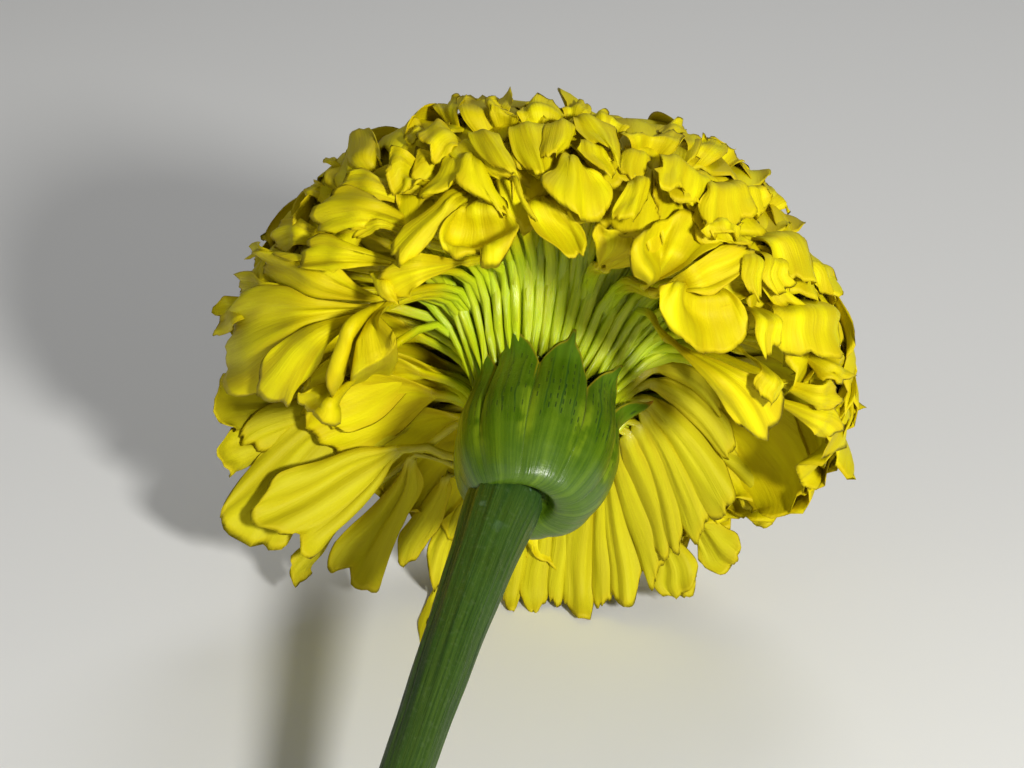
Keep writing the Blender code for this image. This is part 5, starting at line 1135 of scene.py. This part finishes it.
def add_peduncle(material):
    share = 1 - (1 - np.linspace(0, 1, STEM_STATIONS)) ** 1.25
    middle = stem_middle(share)
    steps = np.linalg.norm(np.diff(middle, axis=0), axis=1)
    from_cut = np.concatenate(([0], np.cumsum(steps)))
    below = from_cut[-1] - from_cut
    radius = (2.5 + 2.55 * np.exp(-below / 32)) * (1 - 0.06 * np.exp(-((below / 2) ** 2)))
    radius = radius * (1 + 0.012 * np.sin(from_cut / 5.1) + 0.01 * np.sin(from_cut / 2.3 + 1))
    tangent = unit(np.gradient(middle, axis=0))
    side = unit(np.cross(tangent, (0, 0, 1.0)))
    up = np.cross(side, tangent)
    turn = np.linspace(0, 2 * math.pi, STEM_AROUND, endpoint=False)[None, :]
    drift = 0.25 * np.sin(from_cut / 23)[:, None]
    ribs = 0.016 * np.cos(10 * (turn + drift)) + 0.010 * np.cos(23 * (turn + drift) + 1) + 0.006 * np.cos(38 * (turn + drift))
    flute = -0.09 * np.exp(-((np.angle(np.exp(1j * (turn - 2.3))) / 0.22) ** 2)) * np.exp(-below / 26)[:, None]
    around = radius[:, None] * (1 + ribs + flute - 0.025)
    cap_shares = np.array((0.0, 0.25, 0.5, 0.75, 0.9))
    hollow = np.array((0.25, 0.22, 0.12, 0.02, 0.0))
    spokes = np.cos(turn)[..., None] * side[:, None] + np.sin(turn)[..., None] * up[:, None]
    tube = middle[:, None] + spokes * around[..., None]
    ends = [middle[0] + spokes[0] * (around[0][:, None] * s) + tangent[0] * h for s, h in zip(cap_shares[1:], hollow[1:])]
    tops = [middle[-1] + spokes[-1] * (around[-1][:, None] * s) for s in (0.9, 0.6, 0.3)]
    layers = np.concatenate((np.array(ends), tube, np.array(tops)))
    vertices = np.vstack((layers.reshape(-1, 3), (middle[0] + tangent[0] * 0.25)[None], middle[-1][None]))
    vertices[:, 2] = np.maximum(vertices[:, 2], SURFACE_GAP)
    count = len(layers)
    grid = np.arange(count * STEM_AROUND).reshape(count, STEM_AROUND)
    beside = np.roll(grid, -1, axis=1)
    quads = np.stack((grid[:-1], beside[:-1], beside[1:], grid[1:]), axis=-1).reshape(-1, 4)
    low = np.stack((grid[0], np.full(STEM_AROUND, count * STEM_AROUND), beside[0]), axis=-1)
    high = np.stack((grid[-1], beside[-1], np.full(STEM_AROUND, count * STEM_AROUND + 1)), axis=-1)
    blank = np.zeros(STEM_AROUND)
    along = np.concatenate((np.tile(blank, 4), np.repeat(from_cut, STEM_AROUND), np.full(3 * STEM_AROUND, from_cut[-1]), [0, 0]))
    cut = np.concatenate((np.repeat(1.1 - cap_shares[1:], STEM_AROUND), np.zeros((count - 4) * STEM_AROUND), [1.1, 0]))
    angle = np.concatenate((np.tile(np.abs(turn[0] - math.pi), count), [0, 0]))
    neck = np.concatenate((np.tile(blank, 4), np.repeat(np.exp(-below / 4), STEM_AROUND), np.ones(3 * STEM_AROUND), [0, 1]))
    values = {"along": along, "cut": cut, "angle": angle, "neck": neck}
    stem = mesh_object("peduncle_fine", vertices, quads, values, material, np.vstack((low, high)))
    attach(stem, "root")
    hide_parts("peduncle")


class Nodes:
    """Adds shader nodes to one material and wires them up."""

    def __init__(self, material):
        material.use_nodes = True
        self.tree = material.node_tree
        self.shader = self.tree.nodes["Principled BSDF"]

    def put(self, socket, value):
        if isinstance(value, bpy.types.NodeSocket):
            self.tree.links.new(value, socket)
        else:
            socket.default_value = value

    def math(self, operation, first, second=0.0, third=0.0):
        node = self.tree.nodes.new("ShaderNodeMath")
        node.operation = operation
        for socket, value in zip(node.inputs, (first, second, third)):
            self.put(socket, value)
        return node.outputs[0]

    def value(self, name):
        node = self.tree.nodes.new("ShaderNodeAttribute")
        node.attribute_name = name
        return node.outputs["Fac"]

    def within(self, value, low, high, out_low=0.0, out_high=1.0):
        node = self.tree.nodes.new("ShaderNodeMapRange")
        node.interpolation_type = "SMOOTHSTEP"
        for socket, setting in zip(node.inputs, (value, low, high, out_low, out_high)):
            self.put(socket, setting)
        return node.outputs[0]

    def point(self, x=0.0, y=0.0, z=0.0):
        node = self.tree.nodes.new("ShaderNodeCombineXYZ")
        for socket, value in zip(node.inputs, (x, y, z)):
            self.put(socket, value)
        return node.outputs[0]

    def place(self):
        return self.tree.nodes.new("ShaderNodeTexCoord").outputs["Object"]

    def noise(self, where, scale, detail=3.0, roughness=0.5):
        node = self.tree.nodes.new("ShaderNodeTexNoise")
        self.put(node.inputs["Vector"], where)
        node.inputs["Scale"].default_value = scale
        node.inputs["Detail"].default_value = detail
        node.inputs["Roughness"].default_value = roughness
        return node.outputs["Fac"]

    def chance(self, where):
        node = self.tree.nodes.new("ShaderNodeTexWhiteNoise")
        self.put(node.inputs["Vector"], where)
        return node.outputs["Value"]

    def mix(self, share, first, second, blend="MIX"):
        node = self.tree.nodes.new("ShaderNodeMix")
        node.data_type = "RGBA"
        node.blend_type = blend
        self.put(node.inputs[0], share)
        for socket, colour in ((node.inputs[6], first), (node.inputs[7], second)):
            self.put(socket, (*colour, 1) if isinstance(colour, tuple) else colour)
        return node.outputs[2]

    def bump(self, height, distance, strength=1.0):
        node = self.tree.nodes.new("ShaderNodeBump")
        node.inputs["Distance"].default_value = distance
        node.inputs["Strength"].default_value = strength
        self.put(node.inputs["Height"], height)
        self.put(self.shader.inputs["Normal"], node.outputs[0])


YELLOW_BRIGHT = (0.67, 0.605, 0.001)
YELLOW_DEEP = (0.50, 0.405, 0.001)
YELLOW_PALE = (0.72, 0.68, 0.01)
# YELLOW_LOW: the underside florets' own duller yellow, made darker as painted shade for the flower's lower side
YELLOW_LOW = (0.43, 0.395, 0.01)
CLAW_GREEN = (0.34, 0.47, 0.004)
# Colour of the thin margin line: partly the petals' own browned edges, partly painted shade along the edges
MARGIN_BROWN_AND_SHADE = (0.20, 0.11, 0.004)


def petal_material():
    material = bpy.data.materials.new("petal_yellow_fine")
    n = Nodes(material)
    claw, green_part, across, along = (n.value(key) for key in ("claw", "green", "across", "along"))
    edge, tone = n.value("edge"), n.value("tone")
    shift = n.math("MULTIPLY", tone, 57.0)
    streak_at = n.point(n.math("ADD", n.math("MULTIPLY", across, 15.0), shift), n.math("MULTIPLY", along, 0.11), tone)
    streaks = n.noise(streak_at, 1.0, 4.0, 0.62)
    broad_at = n.point(n.math("ADD", n.math("MULTIPLY", across, 2.6), shift), n.math("MULTIPLY", along, 0.07), tone)
    broad = n.noise(broad_at, 1.0, 2.0)
    blotch = n.noise(n.place(), 240.0, 3.0)
    speckle = n.noise(n.place(), 2600.0, 2.0)
    colour = n.mix(n.within(broad, 0.3, 0.72), YELLOW_DEEP, YELLOW_BRIGHT)
    colour = n.mix(n.math("MULTIPLY", n.within(streaks, 0.5, 0.74), 0.2), colour, YELLOW_PALE)
    colour = n.mix(n.math("MULTIPLY", n.within(streaks, 0.48, 0.28), 0.2), colour, (0.40, 0.29, 0.002))
    colour = n.mix(n.math("MULTIPLY", n.within(blotch, 0.5, 0.75), 0.18), colour, (0.48, 0.36, 0.002))
    colour = n.mix(n.within(tone, 0.0, 0.4, 0.32, 0.0), colour, (0.64, 0.50, 0.003))
    # Painted shade: the underside florets are tinted towards the darker YELLOW_LOW
    colour = n.mix(n.within(tone, 1.0, 1.01, 0.0, 0.6), colour, YELLOW_LOW)
    colour = n.mix(n.within(green_part, 0.0, 0.5, 0.0, 0.7), colour, (0.50, 0.56, 0.008))
    green = n.mix(n.within(streaks, 0.35, 0.65), CLAW_GREEN, (0.54, 0.64, 0.012))
    green = n.mix(n.within(n.math("FRACT", n.math("MULTIPLY", tone, 7.0)), 0.3, 0.9, 0.0, 0.4), green, (0.50, 0.53, 0.01))
    colour = n.mix(n.within(green_part, 0.25, 1.0), colour, green)
    # Thin brown line along the petal margins, broken into patches: partly the petals' own browning, partly painted edge
    # shade
    patchy_browning_and_shade = n.within(n.noise(n.place(), 330.0, 2.0), 0.42, 0.66, 0.12, 1.0)
    margin = n.math("MULTIPLY", n.within(edge, 0.03, 0.2, 1.0, 0.0), patchy_browning_and_shade)
    colour = n.mix(n.math("MULTIPLY", margin, 0.62), colour, MARGIN_BROWN_AND_SHADE)
    # Painted shade: the blades turn darker golden towards their margins, within about 2 mm of the edge
    colour = n.mix(n.within(edge, 0.2, 2.2, 0.3, 0.0), colour, (0.50, 0.34, 0.002))
    n.put(n.shader.inputs["Base Color"], colour)
    n.put(n.shader.inputs["Roughness"], n.within(claw, 0.0, 1.0, 0.58, 0.26))
    n.put(n.shader.inputs["Specular IOR Level"], n.within(claw, 0.0, 1.0, 0.13, 0.5))
    relief = n.math("ADD", n.math("MULTIPLY", streaks, 1.0), n.math("MULTIPLY", speckle, 0.16))
    n.bump(relief, 0.0002, 0.6)
    return material


def bract_material():
    material = bpy.data.materials.new("bract_green_fine")
    n = Nodes(material)
    across, height, rim, tone, inside = (n.value(key) for key in ("across", "height", "rim", "tone", "inside"))
    shift = n.math("MULTIPLY", tone, 41.0)
    streaks = n.noise(n.point(n.math("ADD", n.math("MULTIPLY", across, 7.0), shift), n.math("MULTIPLY", height, 0.09), 0.0), 1.0, 4.0, 0.6)
    cloud = n.noise(n.place(), 260.0, 3.0)
    colour = n.mix(n.within(streaks, 0.34, 0.68), (0.036, 0.086, 0.002), (0.070, 0.136, 0.004))
    colour = n.mix(n.within(height, 12.0, 21.0, 0.0, 0.55), colour, (0.066, 0.150, 0.004))
    colour = n.mix(n.math("MULTIPLY", n.within(cloud, 0.45, 0.7), 0.3), colour, (0.095, 0.165, 0.012))
    seam = n.math("ABSOLUTE", across)
    low_half = n.math("MULTIPLY", n.within(height, 0.8, 4.0), n.within(height, 8.5, 13.0, 1.0, 0.0))
    stripe = n.math("MULTIPLY", n.math("MULTIPLY", n.within(seam, 0.6, 0.86), n.within(streaks, 0.3, 0.55, 0.35, 1.0)), low_half)
    colour = n.mix(n.math("MULTIPLY", stripe, n.within(cloud, 0.42, 0.6, 0.0, 0.6)), colour, (0.20, 0.29, 0.008))
    centre = n.math("MULTIPLY", n.within(seam, 0.0, 0.2, 1.0, 0.0), n.within(height, 4.0, 11.0, 0.3, 0.0))
    colour = n.mix(centre, colour, (0.16, 0.26, 0.010))
    wander = n.math("MULTIPLY", n.math("SUBTRACT", n.noise(n.point(shift, n.math("MULTIPLY", height, 0.2), 0.0), 1.0, 1.0), 0.5), 0.25)
    for line, weight in ((-0.46, 0.75), (0.06, 0.85), (0.5, 0.7)):
        away = n.math("ABSOLUTE", n.math("SUBTRACT", n.math("ADD", across, wander), line))
        drawn = n.math("MULTIPLY", n.within(away, 0.012, 0.04, weight, 0.0), n.within(height, 5.0, 8.0))
        colour = n.mix(n.math("MULTIPLY", drawn, n.within(height, 15.0, 19.0, 1.0, 0.2)), colour, (0.010, 0.050, 0.010))
    lane = n.math("MULTIPLY_ADD", across, 4.5, 20.0)
    lane_number = n.math("FLOOR", lane)
    offset = n.chance(n.point(lane_number, tone, 3.0))
    row = n.math("ADD", n.math("DIVIDE", height, 1.5), offset)
    row_number = n.math("FLOOR", row)
    there = n.math("GREATER_THAN", n.chance(n.point(lane_number, row_number, tone)), 0.48)
    beside = n.within(n.math("ABSOLUTE", n.math("SUBTRACT", n.math("FRACT", lane), 0.5)), 0.06, 0.13, 1.0, 0.0)
    length = n.within(n.math("ABSOLUTE", n.math("SUBTRACT", n.math("FRACT", row), 0.5)), 0.24, 0.34, 1.0, 0.0)
    gland = n.math("MULTIPLY", n.math("MULTIPLY", beside, length), there)
    zone = n.math("MULTIPLY", n.within(height, 4.0, 6.5), n.math("MULTIPLY", n.within(rim, 1.0, 2.0), n.within(seam, 0.86, 0.8)))
    gland = n.math("MULTIPLY", gland, zone)
    colour = n.mix(n.math("MULTIPLY", gland, 0.85), colour, (0.008, 0.030, 0.010))
    purple = n.math("MULTIPLY", n.within(across, -0.99, -0.93, 1.0, 0.0), n.math("MULTIPLY", n.within(height, 5.0, 8.0), n.within(height, 13.0, 16.0, 1.0, 0.0)))
    colour = n.mix(n.math("MULTIPLY", purple, 0.8), colour, (0.035, 0.008, 0.018))
    upper_seam = n.math("MULTIPLY", n.within(seam, 0.90, 0.985), n.within(height, 11.5, 15.0))
    colour = n.mix(n.math("MULTIPLY", upper_seam, 0.75), colour, (0.34, 0.26, 0.008))
    border = n.within(rim, 0.05, 0.5, 0.6, 0.0)
    colour = n.mix(border, colour, (0.34, 0.24, 0.010))
    tip = n.math("MULTIPLY", n.within(height, 21.9, 23.2), n.within(seam, 0.22, 0.1))
    colour = n.mix(n.math("MULTIPLY", tip, 0.9), colour, (0.42, 0.16, 0.008))
    # Painted shade: the lowest band of the cup, in the dimple round the stem, is made dark green
    foot = n.within(height, -3.4, -2.2, 0.8, 0.0)
    colour = n.mix(foot, colour, (0.014, 0.050, 0.006))
    colour = n.mix(inside, colour, (0.30, 0.38, 0.06))
    n.put(n.shader.inputs["Base Color"], colour)
    n.put(n.shader.inputs["Roughness"], n.within(cloud, 0.3, 0.7, 0.28, 0.36))
    n.shader.inputs["Specular IOR Level"].default_value = 0.45
    grain = n.noise(n.place(), 1900.0, 2.0)
    relief = n.math("ADD", n.math("MULTIPLY", streaks, 1.0), n.math("MULTIPLY", grain, 0.35))
    n.bump(n.math("SUBTRACT", relief, n.math("MULTIPLY", gland, 0.5)), 0.00018, 0.5)
    return material


def stem_material():
    material = bpy.data.materials.new("stem_skin_fine")
    n = Nodes(material)
    along, angle, cut, neck = (n.value(key) for key in ("along", "angle", "cut", "neck"))
    streaks = n.noise(n.point(n.math("MULTIPLY", angle, 9.0), n.math("MULTIPLY", along, 0.035), 0.0), 1.0, 5.0, 0.65)
    lines = n.noise(n.point(n.math("MULTIPLY", angle, 22.0), n.math("MULTIPLY", along, 0.02), 4.0), 1.0, 3.0, 0.6)
    cloud = n.noise(n.place(), 130.0, 4.0)
    grain = n.noise(n.place(), 1500.0, 3.0)
    colour = n.mix(n.within(streaks, 0.32, 0.68), (0.018, 0.048, 0.005), (0.047, 0.092, 0.009))
    colour = n.mix(n.math("MULTIPLY", n.within(cloud, 0.4, 0.7), 0.45), colour, (0.036, 0.092, 0.010))
    colour = n.mix(n.math("MULTIPLY", n.within(lines, 0.46, 0.3), 0.75), colour, (0.006, 0.026, 0.007))
    colour = n.mix(n.math("MULTIPLY", n.within(grain, 0.52, 0.75), 0.25), colour, (0.10, 0.15, 0.06))
    # Painted shadow: the stem is made darker in its last few millimetres under the cup
    colour = n.mix(n.math("MULTIPLY", neck, 0.5), colour, (0.012, 0.046, 0.012))
    pale = n.math("MULTIPLY", n.within(n.noise(n.place(), 520.0, 4.0), 0.6, 0.75), neck)
    colour = n.mix(n.math("MULTIPLY", pale, 0.7), colour, (0.22, 0.33, 0.30))
    colour = n.mix(n.within(cut, 0.12, 0.3), colour, (0.33, 0.42, 0.16))
    colour = n.mix(n.within(cut, 0.3, 0.62), colour, n.mix(n.within(grain, 0.4, 0.6), (0.62, 0.62, 0.38), (0.78, 0.77, 0.58)))
    n.put(n.shader.inputs["Base Color"], colour)
    n.put(n.shader.inputs["Roughness"], n.within(cloud, 0.3, 0.7, 0.36, 0.5))
    n.shader.inputs["Specular IOR Level"].default_value = 0.3
    relief = n.math("ADD", n.math("ADD", streaks, n.math("MULTIPLY", lines, 0.6)), n.math("MULTIPLY", grain, 0.3))
    n.bump(relief, 0.00022, 0.85)
    return material


def pith_material():
    material = bpy.data.materials.new("pale_pith_fine")
    n = Nodes(material)
    grain = n.noise(n.place(), 900.0, 4.0)
    n.put(n.shader.inputs["Base Color"], n.mix(n.within(grain, 0.35, 0.65), (0.32, 0.38, 0.12), (0.5, 0.54, 0.24)))
    n.shader.inputs["Roughness"].default_value = 0.6
    n.bump(grain, 0.0002, 0.6)
    return material


def floor_material():
    material = bpy.data.materials.new("pale_floor")
    n = Nodes(material)
    n.shader.inputs["Base Color"].default_value = (0.8, 0.8, 0.79, 1)
    n.shader.inputs["Roughness"].default_value = 0.85
    return material


def look_at(obj, target):
    obj.rotation_euler = (obj.location - Vector(target)).to_track_quat("Z", "Y").to_euler()


PHOTO_WIDTH = 1024
PHOTO_HEIGHT = 768
RIM_PIXEL = (537, 410)
SCALE_AT_RIM = 0.1315
CAMERA_AZIMUTH = math.radians(9.0)
CAMERA_ELEVATION = math.radians(24.0)
CAMERA_DISTANCE = 350.0
SENSOR_WIDTH = 36.0


def add_camera():
    back = Vector((
        math.sin(CAMERA_AZIMUTH) * math.cos(CAMERA_ELEVATION),
        -math.cos(CAMERA_AZIMUTH) * math.cos(CAMERA_ELEVATION),
        math.sin(CAMERA_ELEVATION),
    ))
    right = Vector((math.cos(CAMERA_AZIMUTH), math.sin(CAMERA_AZIMUTH), 0))
    above = back.cross(right)
    off_right = (RIM_PIXEL[0] - PHOTO_WIDTH / 2) * SCALE_AT_RIM
    off_down = (RIM_PIXEL[1] - PHOTO_HEIGHT / 2) * SCALE_AT_RIM
    target = Vector(RIM_CENTRE) - right * off_right + above * off_down
    data = bpy.data.cameras.new("camera")
    data.sensor_width = SENSOR_WIDTH
    data.lens = SENSOR_WIDTH * CAMERA_DISTANCE / (PHOTO_WIDTH * SCALE_AT_RIM)
    data.clip_start = 0.01
    camera = bpy.data.objects.new("camera", data)
    bpy.context.scene.collection.objects.link(camera)
    camera.location = (target + back * CAMERA_DISTANCE) * MM
    look_at(camera, target * MM)
    bpy.context.scene.camera = camera
    return back, right, above


def add_light(name, place, target, size, power, colour):
    data = bpy.data.lights.new(name, "AREA")
    data.shape = "DISK"
    data.size = size
    data.energy = power
    data.color = colour
    light = bpy.data.objects.new(name, data)
    bpy.context.scene.collection.objects.link(light)
    light.location = place
    look_at(light, target)


def add_stage(back, right, above):
    floor_mesh = bpy.data.meshes.new("floor")
    floor_mesh.from_pydata([(-3, -3, 0), (3, -3, 0), (3, 3, 0), (-3, 3, 0)], [], [(0, 1, 2, 3)])
    floor_mesh.materials.append(floor_material())
    floor = bpy.data.objects.new("floor", floor_mesh)
    bpy.context.scene.collection.objects.link(floor)
    centre = Vector(RIM_CENTRE) * MM
    add_light("key", centre + (back * 0.93 + right * 0.34 + above * 0.0) * 0.62, centre, 0.07, 4.7, (1, 0.99, 0.95))
    add_light("fill", centre + (back * 0.7 - right * 0.75 + above * 0.1) * 0.7, centre, 0.4, 0.4, (1, 0.99, 0.96))
    add_light("top", centre + (-back * 0.25 + above * 0.95 + right * 0.25) * 0.6, centre, 0.3, 0.7, (1, 1, 1))
    world = bpy.data.worlds.new("studio")
    world.use_nodes = True
    world.node_tree.nodes["Background"].inputs["Color"].default_value = (1, 1, 1, 1)
    world.node_tree.nodes["Background"].inputs["Strength"].default_value = 0.18
    bpy.context.scene.world = world
    bpy.context.scene.view_settings.view_transform = "Standard"


def main():
    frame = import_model()
    add_florets(petal_material())
    add_involucre(bract_material())
    add_peduncle(stem_material())
    receptacle = frame["nodes"]["receptacle"]
    receptacle.data.materials.clear()
    receptacle.data.materials.append(pith_material())
    back, right, above = add_camera()
    add_stage(back, right, above)


main()
